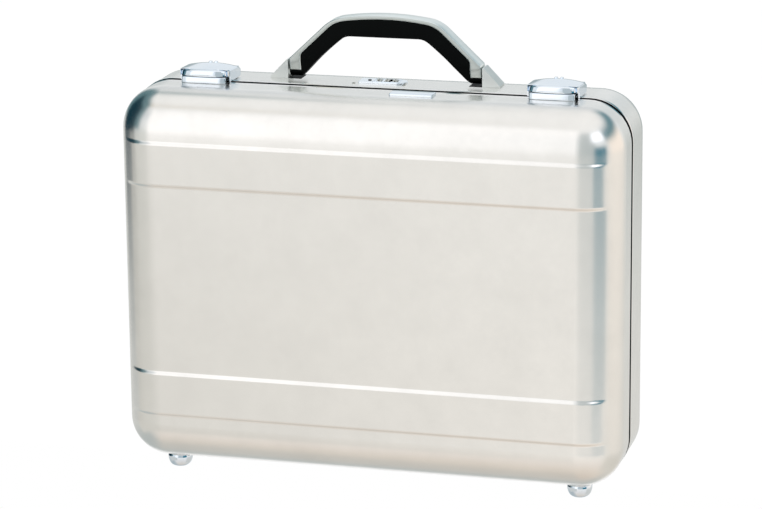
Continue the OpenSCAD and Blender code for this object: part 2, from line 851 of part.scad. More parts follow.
// End of a leg below the grip, rounded about the pin, with a toe under the foot block
module handle_hub(side) {
    low = handle_pin_h - hub_r;
    color("black") on_handle() on_side(side) difference() {
        intersection() {
            translate([0, handle_y + grip_t / 2, 0]) rotate([90, 0, 0]) linear_extrude(grip_t) polygon([
                [gap_x(low), low],
                [handle_foot_x, low],
                [handle_foot_x, block_low],
                [foot_in_x, block_low],
                [foot_in_x, hub_top],
                [gap_x(hub_top), hub_top]
            ]);
            translate([0, handle_y, 0]) rotate([90, 0, 90]) linear_extrude(handle_foot_x) {
                translate([0, handle_pin_h]) circle(hub_r);
                polygon([
                    [-hub_r, handle_pin_h],
                    [hub_r, handle_pin_h],
                    [grip_t / 2, hub_top],
                    [-grip_t / 2, hub_top]
                ]);
            }
        }
        cross_rod(handle_pin_in - slip, case_w, handle_y, handle_pin_h, handle_pin_r + running);
    }
}

// ---- latch levers ----------------------------------------------------------------------

// Side view of a lever as (y, height), drawn "off" inside its outside
module lever_side_2d(off) {
    y0 = off - nose_reach;
    top = lever_h - off;
    polygon([
        [y0, catch_h + nose_gap],
        [y0, top - 1.6],
        [y0 + 0.6, top - 0.5],
        [y0 + 1.8, top],
        [lever_pin_y + 1, top + lever_rise],
        [lever_pin_y + lever_end_r * 0.75, top - 1],
        [lever_pin_y + lever_end_r - off, lever_pin_h],
        [lever_pin_y, lever_pin_h],
        [lever_pin_y, skirt_h],
        [0.5 - mouth, skirt_h],
        [0.5 - mouth, catch_h + nose_gap]
    ]);
    translate([lever_pin_y, lever_pin_h]) circle(lever_end_r - off);
}

module latch_lever(side) {
    half = lever_w / 2;
    inner = half - lever_t;
    cavity_front = -mouth + 1;
    boss_in = base_w / 2 + slip;
    color("lightsteelblue") on_top() translate([side * latch_x, 0, 0]) difference() {
        intersection() {
            union() {
                difference() {
                    translate([-half, 0, 0]) rotate([90, 0, 90]) linear_extrude(lever_w) lever_side_2d(0);
                    intersection() {
                        translate([-inner, 0, 0]) rotate([90, 0, 90]) linear_extrude(2 * inner) union() {
                            lever_side_2d(lever_t);
                            translate([cavity_front, -1]) square([lever_pin_y - cavity_front, lever_h / 2]);
                            translate([lever_pin_y - 1, -1]) square([lever_end_r * 2, lever_pin_h + 1]);
                        }
                        translate([-half, cavity_front, -1]) cube([lever_w, 2 * case_w, 2 * lever_h]);
                    }
                }
                for (s = [left, right]) {
                    x0 = s == left ? -inner - eps : boss_in;
                    cross_rod(x0, x0 + inner - boss_in + eps, lever_pin_y, lever_pin_h, ear_r);
                }
                translate([-claw_w / 2, -claw_y - claw_t, claw_low])
                    cube([claw_w, claw_t, lever_h - lever_t - claw_low]);
            }
            linear_extrude(2 * lever_h) polygon([
                [-nose_w / 2, -nose_reach],
                [nose_w / 2, -nose_reach],
                [half, 7 - nose_reach],
                [half, lever_pin_y + lever_end_r],
                [-half, lever_pin_y + lever_end_r],
                [-half, 7 - nose_reach]
            ]);
            translate([0, -case_w, lever_h + lever_rise + 0.2 - crown_r]) rotate([-90, 0, 0])
                cylinder(r = crown_r, h = 2 * case_w, $fn = 360);
        }
        cross_rod(-inner, inner, lever_pin_y, lever_pin_h, lever_pin_r + running);
    }
}

// ---- lock ------------------------------------------------------------------------------

module dial(i) {
    color("gray") on_top() translate([dial_x[i] - dial_w / 2, lock_y, dial_axis_h]) rotate([0, 90, 0])
        difference() {
            cylinder(r = dial_r, h = dial_w);
            translate([0, 0, -1]) cylinder(r = axle_r + running, h = dial_w + 2);
            for (k = [0:dial_notches - 1]) rotate([0, 0, (k + 0.5) * 360 / dial_notches])
                translate([dial_r, 0, -1]) cylinder(r = 0.35, h = dial_w + 2, $fn = 16);
        }
}

module reset_button() {
    color("dimgray") on_top() {
        rod(button_x, lock_y, button_flange_low, plate_h - button_sunk, button_r);
        rod(button_x, lock_y, button_flange_low, button_flange_low + button_flange_h, button_flange_r);
    }
}

rear_shell();
rear_rim();
gasket();
hardware_rail();
rear_liner();
rear_rivets();
latch_base(left);  // latch_base_left
latch_base(right);  // latch_base_right
latch_pin(left);  // latch_pin_left
latch_pin(right);  // latch_pin_right
handle_bracket(left);  // handle_bracket_left
handle_bracket(right);  // handle_bracket_right
handle_pin(left);  // handle_pin_left
handle_pin(right);  // handle_pin_right
lock_plate();
lock_case();
dial_axle();
button_spring();
hinge_leaf(left, 1, 0);  // hinge_leaf_rear_left
hinge_leaf(right, 1, 0);  // hinge_leaf_rear_right
hinge_pin(left);  // hinge_pin_left
hinge_pin(right);  // hinge_pin_right
foot(left, rear_foot_y);  // foot_rear_left
foot(right, rear_foot_y);  // foot_rear_right
front_shell();
front_rim();
front_liner();
front_rivets();
document_pocket();
pen_loops();
catch_block(left);  // catch_left
catch_block(right);  // catch_right
badge_plate();
hinge_leaf(left, -1, 1);  // hinge_leaf_front_left
hinge_leaf(right, -1, 1);  // hinge_leaf_front_right
foot(left, -front_foot_y);  // foot_front_left
foot(right, -front_foot_y);  // foot_front_right
handle_cover();
handle_grip();
handle_hub(left);  // handle_hub_left
handle_hub(right);  // handle_hub_right
latch_lever(left);  // latch_lever_left
latch_lever(right);  // latch_lever_right
dial(0);  // dial_1
dial(1);  // dial_2
dial(2);  // dial_3
reset_button();
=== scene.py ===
"""Looks of a hard attache case: two pressed aluminium shells with raised bands, bright
lever latches, a three-dial lock, a lift handle with a black grip, and domed feet.

Lengths are in millimetres in the case's own frame (X across, Y from the front shell to the
rear shell, Z up, origin at the bottom middle of the parting plane) and are turned into
metres in the shared frame when a mesh is made.
"""

import logging
import math
from collections.abc import Callable, Sequence
from dataclasses import dataclass, field
from enum import Enum

import bmesh
import bpy
from mathutils import Matrix, Vector


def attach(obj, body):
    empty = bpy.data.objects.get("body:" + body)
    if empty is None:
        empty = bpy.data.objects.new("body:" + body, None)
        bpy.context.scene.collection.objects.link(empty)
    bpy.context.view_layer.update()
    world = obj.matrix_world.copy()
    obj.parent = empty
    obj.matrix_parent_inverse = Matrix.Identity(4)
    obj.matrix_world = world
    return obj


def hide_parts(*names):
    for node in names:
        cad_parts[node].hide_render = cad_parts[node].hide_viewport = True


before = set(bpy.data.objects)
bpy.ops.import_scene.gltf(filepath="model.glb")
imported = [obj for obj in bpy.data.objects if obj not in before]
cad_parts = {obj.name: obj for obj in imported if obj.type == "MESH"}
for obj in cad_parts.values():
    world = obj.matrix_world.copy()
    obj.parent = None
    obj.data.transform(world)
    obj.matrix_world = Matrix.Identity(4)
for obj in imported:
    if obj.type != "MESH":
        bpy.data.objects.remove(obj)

log = logging.getLogger("attache")

Point2 = tuple[float, float]
Point3 = tuple[float, float, float]
Coords = bpy.types.bpy_prop_collection

MM = 0.001
PART_Y = -9.5  # parting plane in the shared frame
FOOT_H = 14.0  # underside of the shells above the floor
CASE_W = 460.0
CASE_H = 346.0
EDGE_R = 38.0  # outer rounding of the shells
WALL = 1.6
MOUTH = 4.5  # from the parting plane to each shell's mouth
FRONT_DEPTH = 63.0
REAR_DEPTH = 82.0
SHARP = 30.0  # edges that bend by more degrees than this are shaded sharp
BENT = 28.0  # and the same for pieces that are copied from a node


class Named(Enum):
    """A choice whose name is part of the names of pieces."""

    @property
    def word(self) -> str:
        """The choice as the pieces' names spell it."""
        return self.name.lower()


class Side(Named):
    """Left or right of the case, as a sign along X."""

    LEFT = -1
    RIGHT = 1


class Half(Named):
    """Front or rear half of the case, as a sign along Y."""

    FRONT = -1
    REAR = 1

    @property
    def body(self) -> str:
        """The body that this half belongs to."""
        return "lid" if self is Half.FRONT else "base"

    @property
    def depth(self) -> float:
        """From the parting plane to the flat face of this half's shell."""
        return FRONT_DEPTH if self is Half.FRONT else REAR_DEPTH


# ---- colour and node helpers -------------------------------------------------------------


def linear(code: str) -> tuple[float, float, float, float]:
    """Turns an sRGB hex colour into linear RGBA.

    Args:
        code: Six hex digits, such as "C9CCCE".

    Returns:
        Red, green, blue and alpha, each from 0 to 1.
    """
    channels = [int(code[i:i + 2], 16) / 255 for i in (0, 2, 4)]
    lin = [c / 12.92 if c <= 0.04045 else ((c + 0.055) / 1.055) ** 2.4 for c in channels]
    return (lin[0], lin[1], lin[2], 1.0)


def feed(node: bpy.types.Node, inputs: dict) -> None:
    """Fills a node's inputs.

    Args:
        node: The node.
        inputs: Socket name or index to a value, or to the socket or node that feeds it. A node
            feeds it by the first output that is in use.
    """
    for key, value in inputs.items():
        if isinstance(value, bpy.types.Node):
            value = next(socket for socket in value.outputs if socket.enabled)
        if isinstance(value, bpy.types.NodeSocket):
            node.id_data.links.new(value, node.inputs[key])
        else:
            node.inputs[key].default_value = value


def add_node(tree: bpy.types.NodeTree, kind: str, inputs: dict | None = None, **settings) -> bpy.types.Node:
    """Adds one node with its settings, its input values and its incoming links.

    Args:
        tree: Node tree to add to.
        kind: Node type without the "ShaderNode" prefix.
        inputs: What fills its inputs, as for feed.
        **settings: Attributes of the node.

    Returns:
        The new node.
    """
    node = tree.nodes.new("ShaderNode" + kind)
    for name, value in settings.items():
        setattr(node, name, value)
    feed(node, inputs or {})
    return node


def blank_material(name: str) -> tuple[bpy.types.Material, bpy.types.NodeTree, Coords]:
    """Starts a node material.

    Args:
        name: Material name.

    Returns:
        The material, its node tree and the coordinates in it, by name.
    """
    mat = bpy.data.materials.new(name)
    mat.use_nodes = True
    return mat, mat.node_tree, add_node(mat.node_tree, "TexCoord").outputs


def coated(mat: bpy.types.Material, inputs: dict) -> bpy.types.Material:
    """Fills the inputs of a material's shader and gives the material back."""
    feed(mat.node_tree.nodes["Principled BSDF"], inputs)
    return mat


def per_mm(size: float) -> float:
    """Scale of a noise or voronoi texture whose pattern repeats about every size mm."""
    return 1.0 / (size * MM)


# ---- finishes ----------------------------------------------------------------------------


@dataclass(frozen=True)
class MetalFinish:
    """A bare, plated or anodised metal surface.

    Attributes:
        name: Material name.
        colour: Reflection colour, sRGB hex.
        shade: Second colour that slow clouding mixes in, sRGB hex.
        rough: Typical roughness.
        rough_spread: How far handling marks move the roughness.
        grain_mm: Size of the surface grain.
        grain_depth: Height of the grain in mm.
        wave_depth: Height in mm of the slow waviness that rolling and pressing leave.
        wave_mm: Length of that waviness.
        sides: Colour of the faces that look along Y, sRGB hex, where they differ; it is painted shade that
            draws those faces darker than the rest.
        cloud_mm: Size of the slow clouding.
        mark_mm: Size of the marks of handling.
    """

    name: str
    colour: str
    shade: str
    rough: float
    rough_spread: float = 0.04
    grain_mm: float = 0.5
    grain_depth: float = 0.004
    wave_depth: float = 0.0
    wave_mm: float = 60.0
    sides: str = ""
    cloud_mm: float = 38.0
    mark_mm: float = 7.0

    def build(self) -> bpy.types.Material:
        """Makes the material.

        Returns:
            The node material.
        """
        mat, tree, coords = blank_material(self.name)
        place = coords["Object"]
        grain = add_node(tree, "TexNoise", {"Vector": place, "Scale": per_mm(self.grain_mm), "Detail": 3.0})
        clouds = add_node(tree, "TexNoise", {"Vector": place, "Scale": per_mm(self.cloud_mm), "Detail": 4.0,
                                             "Roughness": 0.6})
        marks = add_node(tree, "TexNoise", {"Vector": place, "Scale": per_mm(self.mark_mm), "Detail": 5.0})
        tint = add_node(tree, "MapRange", {"Value": clouds, "From Min": 0.35, "From Max": 0.7})
        colour = add_node(tree, "Mix", {"Factor": tint, "A": linear(self.colour),
                                        "B": linear(self.shade)}, data_type="RGBA")
        # Painted shade: faces that look along Y are mixed towards the darker sides colour.
        if self.sides:
            facing = add_node(tree, "SeparateXYZ", {0: coords["Normal"]})
            along = add_node(tree, "Math", {0: facing.outputs["Y"]}, operation="ABSOLUTE")
            cut = add_node(tree, "MapRange", {"Value": along, "From Min": 0.55, "From Max": 0.85})
            colour = add_node(tree, "Mix", {"Factor": cut, "A": colour, "B": linear(self.sides)},
                              data_type="RGBA")
        wear = add_node(tree, "Math", {0: clouds, 1: marks}, operation="ADD")
        rough = add_node(tree, "MapRange", {"Value": wear, "From Min": 0.7, "From Max": 1.3,
                                            "To Min": self.rough - self.rough_spread,
                                            "To Max": self.rough + self.rough_spread})
        bump = add_node(tree, "Bump", {"Height": grain, "Strength": 1.0, "Distance": self.grain_depth * MM})
        if self.wave_depth > 0:
            wave = add_node(tree, "TexNoise", {"Vector": place, "Scale": per_mm(self.wave_mm), "Detail": 1.0})
            bump = add_node(tree, "Bump", {"Height": wave, "Strength": 1.0,
                                           "Distance": self.wave_depth * MM, "Normal": bump})
        return coated(mat, {"Base Color": colour, "Roughness": rough, "Normal": bump, "Metallic": 1.0})


@dataclass(frozen=True)
class MouldedFinish:
    """A moulded plastic or rubber surface with a fine grain.

    Attributes:
        name: Material name.
        colour: Body colour, sRGB hex.
        worn: Colour where it is rubbed, sRGB hex.
        rough: Typical roughness.
        ior: Index of refraction.
        grain_mm: Size of the moulded grain.
        grain_depth: Height of the grain in mm.
        gloss: Specular level; a dusty or grained skin reflects less.
    """

    name: str
    colour: str
    worn: str
    rough: float
    ior: float = 1.53
    grain_mm: float = 0.6
    grain_depth: float = 0.02
    gloss: float = 0.5

    def build(self) -> bpy.types.Material:
        """Makes the material.

        Returns:
            The node material.
        """
        mat, tree, coords = blank_material(self.name)
        place = coords["Object"]
        grain = add_node(tree, "TexVoronoi", {"Vector": place, "Scale": per_mm(self.grain_mm)},
                         feature="SMOOTH_F1")
        rub = add_node(tree, "TexNoise", {"Vector": place, "Scale": per_mm(12.0), "Detail": 5.0})
        worn = add_node(tree, "MapRange", {"Value": rub, "From Min": 0.45, "From Max": 0.8})
        colour = add_node(tree, "Mix", {"Factor": worn, "A": linear(self.colour),
                                        "B": linear(self.worn)}, data_type="RGBA")
        rough = add_node(tree, "MapRange", {"Value": rub, "From Min": 0.3, "From Max": 0.7,
                                            "To Min": self.rough - 0.05, "To Max": self.rough + 0.07})
        bump = add_node(tree, "Bump", {"Height": grain, "Strength": 1.0, "Distance": self.grain_depth * MM})
        return coated(mat, {"Base Color": colour, "Roughness": rough, "Normal": bump, "IOR": self.ior,
                            "Specular IOR Level": self.gloss})


@dataclass(frozen=True)
class WovenFinish:
    """A plain-woven cloth.

    Attributes:
        name: Material name.
        warp: Colour of the warp threads, sRGB hex.
        weft: Colour of the weft threads, sRGB hex.
        thread_mm: Distance between threads.
        depth: Height of the weave in mm.
        sheen: Sheen weight of the thread's nap.
    """

    name: str
    warp: str
    weft: str
    thread_mm: float
    depth: float = 0.12
    sheen: float = 0.25

    def build(self) -> bpy.types.Material:
        """Makes the material.

        Returns:
            The node material.
        """
        mat, tree, coords = blank_material(self.name)
        place = coords["Object"]
        # A wave texture repeats every 0.31 of its unit, so one thread is thread_mm wide.
        scale = 0.314 / (self.thread_mm * MM)
        across = add_node(tree, "TexWave", {"Vector": place, "Scale": scale, "Distortion": 0.4,
                                            "Detail": 1.0}, bands_direction="X")
        along = add_node(tree, "TexWave", {"Vector": place, "Scale": scale, "Distortion": 0.4,
                                           "Detail": 1.0}, bands_direction="Z")
        weave = add_node(tree, "Math", {0: across.outputs["Fac"], 1: along.outputs["Fac"]},
                         operation="MULTIPLY")
        fibre = add_node(tree, "TexNoise", {"Vector": place, "Scale": per_mm(0.9), "Detail": 3.0})
        over = add_node(tree, "Math", {0: weave, 1: fibre}, operation="ADD")
        fade = add_node(tree, "TexNoise", {"Vector": place, "Scale": per_mm(45.0), "Detail": 2.0})
        mixed = add_node(tree, "MapRange", {"Value": over, "From Min": 0.2, "From Max": 1.3})
        threads = add_node(tree, "Mix", {"Factor": mixed, "A": linear(self.warp),
                                         "B": linear(self.weft)}, data_type="RGBA")
        shade = add_node(tree, "MapRange", {"Value": fade, "From Min": 0.3,
                                            "From Max": 0.7, "To Min": 0.86, "To Max": 1.06})
        colour = add_node(tree, "VectorMath", {0: threads, "Scale": shade}, operation="SCALE")
        rough = add_node(tree, "MapRange", {"Value": fibre, "To Min": 0.78, "To Max": 0.95})
        bump = add_node(tree, "Bump", {"Height": over, "Strength": 0.8, "Distance": self.depth * MM})
        return coated(mat, {"Base Color": colour, "Roughness": rough, "Normal": bump,
                            "Sheen Weight": self.sheen})


@dataclass(frozen=True)
class LeatherFinish:
    """Smooth grained leather.

    Attributes:
        name: Material name.
        colour: Body colour, sRGB hex.
        crease: Colour in the creases, sRGB hex.
        pebble_mm: Size of the grain's pebbles.
    """

    name: str
    colour: str
    crease: str
    pebble_mm: float = 1.1

    def build(self) -> bpy.types.Material:
        """Makes the material.

        Returns:
            The node material.
        """
        mat, tree, coords = blank_material(self.name)
        place = coords["Object"]
        warp = add_node(tree, "TexNoise", {"Vector": place, "Scale": per_mm(3.0), "Detail": 2.0})
        bent = add_node(tree, "VectorMath", {0: warp.outputs["Color"], "Scale": 0.0008}, operation="SCALE")
        moved = add_node(tree, "VectorMath", {0: place, 1: bent}, operation="ADD")
        pebbles = add_node(tree, "TexVoronoi", {"Vector": moved, "Scale": per_mm(self.pebble_mm)},
                           feature="DISTANCE_TO_EDGE")
        ridge = add_node(tree, "MapRange", {"Value": pebbles, "From Max": 0.12})
        colour = add_node(tree, "Mix", {"Factor": ridge, "A": linear(self.crease),
                                        "B": linear(self.colour)}, data_type="RGBA")
        rough = add_node(tree, "MapRange", {"Value": ridge, "To Min": 0.7, "To Max": 0.48})
        bump = add_node(tree, "Bump", {"Height": ridge, "Strength": 0.7, "Distance": 0.06 * MM})
        return coated(mat, {"Base Color": colour, "Roughness": rough, "Normal": bump})


class Finish(Enum):
    """Every finish on the case, by the name of the slot that it belongs to."""

    # Bead-blasted and clear-anodised sheet: soft, even, slightly warm reflections without a
    # drawn grain, and a slow waviness from the press.
    SHELL = ("shell_satin_aluminium", MetalFinish(
        "satin_anodised_aluminium", "F3F1ED", "EEECE8", rough=0.25, rough_spread=0.015,
        grain_mm=0.6, grain_depth=0.003, wave_depth=0.03, wave_mm=90.0))
    # Extruded frame, polished along its length: sharper lines of light than the sheet.
    FRAME = ("frame_aluminium", MetalFinish(
        "polished_extruded_aluminium", "FAF8F5", "F2F1EF", rough=0.12, rough_spread=0.03,
        grain_mm=0.4, grain_depth=0.002))
    # Nickel and chrome plate on pressed steel: a cool mirror with faint wipe marks.
    PLATE = ("bright_plate", MetalFinish(
        "chrome_plated_steel", "EBF2F9", "E3ECF5", rough=0.07, rough_spread=0.02,
        grain_mm=0.5, grain_depth=0.001, wave_depth=0.015, wave_mm=9.0))
    # Zinc-plated steel for what is out of sight: dull, clouded, slightly yellow grey.
    STEEL = ("hardware_steel", MetalFinish(
        "zinc_plated_steel", "C4C3BC", "A9A9A4", rough=0.36, rough_spread=0.08,
        grain_mm=0.8, grain_depth=0.008))
    # Pressure-cast and painted brackets: fine orange peel under a satin silver paint.
    BRACKET = ("bracket_metal", MetalFinish(
        "silver_painted_zinc_casting", "DCE1DF", "D3D8D6", rough=0.36, rough_spread=0.04,
        grain_mm=0.9, grain_depth=0.01))
    # Extruded and satin-anodised handle cover: its outer face is bright, and its front and rear faces
    # are coloured greyer as painted shade.
    COVER = ("handle_metal", MetalFinish(
        "grey_anodised_aluminium", "F4F9F7", "EDF2F0", rough=0.32, rough_spread=0.03,
        grain_mm=0.5, grain_depth=0.005, sides="C3C9C6"))
    # Glass-filled nylon, moulded with a fine leather grain, polished a little by hands.
    GRIP = ("handle_plastic", MouldedFinish(
        "moulded_black_nylon", "030505", "070A09", rough=0.5, ior=1.53,
        grain_mm=0.7, grain_depth=0.03, gloss=0.06))
    # EPDM profile: matt black with a dusty bloom.
    GASKET = ("gasket_rubber", MouldedFinish(
        "black_epdm_rubber", "040E12", "0A1519", rough=0.5, ior=1.5,
        grain_mm=0.9, grain_depth=0.01, gloss=0.12))
    # Acetal dials: smooth, slightly waxy ivory.
    DIAL = ("dial_plastic", MouldedFinish(
        "ivory_acetal", "DCDDD6", "C9C9BF", rough=0.3, ior=1.48,
        grain_mm=0.8, grain_depth=0.004))
    # ABS button: smooth black.
    BUTTON = ("button_plastic", MouldedFinish(
        "black_abs", "101314", "1C2021", rough=0.3, ior=1.53,
        grain_mm=0.8, grain_depth=0.006))
    # Charcoal cloth over foam-backed board; threads are drawn at 0.9 mm, as they show.
    LINING = ("lining_fabric", WovenFinish("charcoal_lining_cloth", "2A2C30", "3B3E44", thread_mm=0.9))
    # Heavier cloth on the pocket, a shade lighter; threads are drawn at 1.3 mm.
    POCKET = ("pocket_fabric", WovenFinish(
        "grey_pocket_canvas", "33363B", "4A4E55", thread_mm=1.3, depth=0.16))
    # Printing ink on the dials: flat black, slightly rubbed.
    INK = ("button_plastic", MouldedFinish(
        "black_pad_print_ink", "0A0C0D", "24282A", rough=0.5, ior=1.5,
        grain_mm=0.5, grain_depth=0.004))
    # Bonded polyester thread: pale grey with a dull lustre.
    THREAD = ("pocket_fabric", MouldedFinish(
        "grey_polyester_thread", "8C9096", "A3A7AC", rough=0.6, ior=1.5,
        grain_mm=0.4, grain_depth=0.03))
    # Split leather loops with a pebbled grain.
    LEATHER = ("loop_leather", LeatherFinish("black_pebbled_leather", "1A1816", "0C0B0A"))

    @property
    def slot(self) -> str:
        """The record's material slot."""
        return self.value[0]

    def material(self) -> bpy.types.Material:
        """The built material, made once."""
        recipe = self.value[1]
        return bpy.data.materials.get(recipe.name) or recipe.build()


# ---- mesh helpers ------------------------------------------------------------------------


def to_frame(p: Sequence[float]) -> Vector:
    """Turns a point of the case's own frame, in mm, into metres in the shared frame."""
    return Vector((p[0] * MM, (p[1] + PART_Y) * MM, (p[2] + FOOT_H) * MM))


@dataclass
class Solid:
    """Vertices and faces of one mesh, in mm in the case's own frame."""

    verts: list[Point3] = field(default_factory=list)
    faces: list[tuple[int, ...]] = field(default_factory=list)

    def add(self, other: "Solid") -> None:
        """Takes in another solid's vertices and faces."""
        start = len(self.verts)
        self.verts.extend(other.verts)
        self.faces.extend(tuple(start + i for i in face) for face in other.faces)

    def make(self, name: str, sharp: float = SHARP) -> bpy.types.Object:
        """Makes the object, with close vertices merged and faces turned outward.

        Args:
            name: Name of the piece.
            sharp: Edges that bend by more degrees than this are shaded sharp.

        Returns:
            The new object.
        """
        mesh = bpy.data.meshes.new(name)
        mesh.from_pydata([to_frame(v) for v in self.verts], [], self.faces)
        return finish_mesh(name, mesh, sharp)


def finish_mesh(name: str, mesh: bpy.types.Mesh, sharp: float) -> bpy.types.Object:
    """Welds a mesh, turns its faces outward, shades it and links its object.

    Args:
        name: Name of the piece.
        mesh: Mesh in metres.
        sharp: Edges that bend by more degrees than this are shaded sharp.

    Returns:
        The new object.
    """
    bm = bmesh.new()
    bm.from_mesh(mesh)
    bmesh.ops.remove_doubles(bm, verts=bm.verts, dist=0.002 * MM)
    bmesh.ops.dissolve_degenerate(bm, edges=bm.edges, dist=0.001 * MM)
    bmesh.ops.recalc_face_normals(bm, faces=bm.faces)
    bm.to_mesh(mesh)
    bm.free()
    mesh.shade_smooth()
    mesh.set_sharp_from_angle(angle=math.radians(sharp))
    obj = bpy.data.objects.new(name, mesh)
    bpy.context.scene.collection.objects.link(obj)
    return obj


def from_bmesh(name: str, bm: bmesh.types.BMesh, sharp: float = 40.0) -> bpy.types.Object:
    """Makes an object of a bmesh in metres and frees the bmesh.

    Args:
        name: Name of the piece.
        bm: The bmesh.
        sharp: Edges that bend by more degrees than this are shaded sharp.

    Returns:
        The new object.
    """
    mesh = bpy.data.meshes.new(name)
    bm.to_mesh(mesh)
    bm.free()
    return finish_mesh(name, mesh, sharp)


def soften(obj: bpy.types.Object, width: float, angle: float = BENT, segments: int = 3) -> None:
    """Rounds an object's sharp edges and evens its shading.

    Args:
        obj: Object to round.
        width: Radius in mm.
        angle: Least bend in degrees of an edge that is rounded.
        segments: Number of facets across the rounding.
    """
    bevel = obj.modifiers.new("edge_round", "BEVEL")
    bevel.width = width * MM
    bevel.segments = segments
    bevel.limit_method = "ANGLE"
    bevel.angle_limit = math.radians(angle)
    bevel.miter_outer = "MITER_ARC"
    even = obj.modifiers.new("even_shading", "WEIGHTED_NORMAL")
    even.keep_sharp = True
    even.weight = 60


def dress(obj: bpy.types.Object, finish: Finish, body: str, nodes: Sequence[str] = ()) -> bpy.types.Object:
    """Gives a piece its finish and its body, and hides the nodes that it stands for.

    Args:
        obj: The piece.
        finish: Its finish.
        body: Body that it rides on.
        nodes: Nodes of the part that it replaces.

    Returns:
        The piece.
    """
    obj.data.materials.clear()
    obj.data.materials.append(finish.material())
    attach(obj, body)
    finish.slot
    if nodes:
        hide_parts(*nodes)
    log.info("%s on %s in %s", obj.name, body, finish.slot)
    return obj


def reworked(node: str, name: str, width: float, finish: Finish, body: str) -> bpy.types.Object:
    """Copies a node's mesh, joins its flat facets, rounds its edges and dresses it in the node's place.

    Args:
        node: Node of the part.
        name: Name of the new piece.
        width: Radius of the rounded edges in mm.
        finish: Its finish.
        body: Body that it rides on.

    Returns:
        The piece.
    """
    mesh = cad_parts[node].data.copy()
    bm = bmesh.new()
    bm.from_mesh(mesh)
    bmesh.ops.remove_doubles(bm, verts=bm.verts, dist=0.004 * MM)
    bmesh.ops.dissolve_limit(bm, angle_limit=math.radians(0.4), use_dissolve_boundaries=False,
                             verts=bm.verts, edges=bm.edges)
    bm.to_mesh(mesh)
    bm.free()
    mesh.materials.clear()
    obj = finish_mesh(name, mesh, BENT)
    soften(obj, width)
    return dress(obj, finish, body, [node])


def strips(rows: int, count: int, round_rows: bool = True, round_row: bool = True) -> list[tuple[int, ...]]:
    """Faces that join rows of points.

    Args:
        rows: Number of rows.
        count: Points in each row.
        round_rows: Whether the last row joins the first.
        round_row: Whether each row's last point joins its first.

    Returns:
        Faces as indices, row after row.
    """
    faces = []
    for i in range(rows if round_rows else rows - 1):
        a, b = i * count, (i + 1) % rows * count
        faces += [(a + k, a + (k + 1) % count, b + (k + 1) % count, b + k)
                  for k in range(count if round_row else count - 1)]
    return faces


def lathe(profile: Sequence[Point2], centre: Point3, along: int, sides: int, ring: bool = False) -> Solid:
    """Turns a profile around an axis.

    Args:
        profile: Points as (radius, distance along the axis).
        centre: Origin of the profile.
        along: Which axis it turns around: 0 for X, 2 for Z.
        sides: Number of facets.
        ring: Whether the profile's last point joins its first.

    Returns:
        The turned solid.
    """
    solid = Solid()
    others = [k for k in range(3) if k != along]
    for i in range(sides):
        turn = 2 * math.pi * i / sides
        for r, t in profile:
            p = [0.0, 0.0, 0.0]
            p[along] = centre[along] + t
            p[others[0]] = centre[others[0]] + r * math.cos(turn)
            p[others[1]] = centre[others[1]] + r * math.sin(turn)
            solid.verts.append(tuple(p))
    solid.faces = strips(sides, len(profile), round_row=ring)
    return solid


def settle(obj: bpy.types.Object) -> None:
    """Applies an object's modifiers to its mesh."""
    graph = bpy.context.evaluated_depsgraph_get()
    mesh = bpy.data.meshes.new_from_object(obj.evaluated_get(graph))
    old = obj.data
    obj.modifiers.clear()
    obj.data = mesh
    bpy.data.meshes.remove(old)
    mesh.shade_smooth()
    mesh.set_sharp_from_angle(angle=math.radians(SHARP))


def carve(obj: bpy.types.Object, solids: Sequence[Solid]) -> None:
    """Cuts solids out of an object.

    Args:
        obj: Object to cut.
        solids: What is cut away, in the case's own frame.
    """
    cutters = []
    for solid in solids:
        cutter = solid.make(obj.name + "_cutter")
        cut = obj.modifiers.new("cut", "BOOLEAN")
        cut.operation, cut.solver, cut.object = "DIFFERENCE", "EXACT", cutter
        cutters.append(cutter)
    settle(obj)
    for cutter in cutters:
        mesh = cutter.data
        bpy.data.objects.remove(cutter)
        bpy.data.meshes.remove(mesh)


def keep(node: str, finish: Finish) -> None:
    """Gives a node of the part, which stays as it is, its finish."""
    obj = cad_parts[node]
    for place in obj.material_slots:
        place.link = "OBJECT"
        place.material = finish.material()
    log.info("%s kept in %s", node, finish.slot)


def smooth(low: float, high: float, value: float) -> float:
    """Rises smoothly from 0 to 1 while value goes from low to high."""
    u = min(1.0, max(0.0, (value - low) / (high - low)))
    return u * u * (3 - 2 * u)


# ---- shells ------------------------------------------------------------------------------


@dataclass(frozen=True)
class Line:
    """One grid line of a rounded box: where its inner box starts, and its tangent in the rounding."""

    base: float
    lean: float = 0.0


def leans(steps: int) -> list[float]:
    """Tangents of the grid lines across 45 degrees of rounding."""
    return [math.tan(math.radians(45 * k / steps)) for k in range(1, steps + 1)]


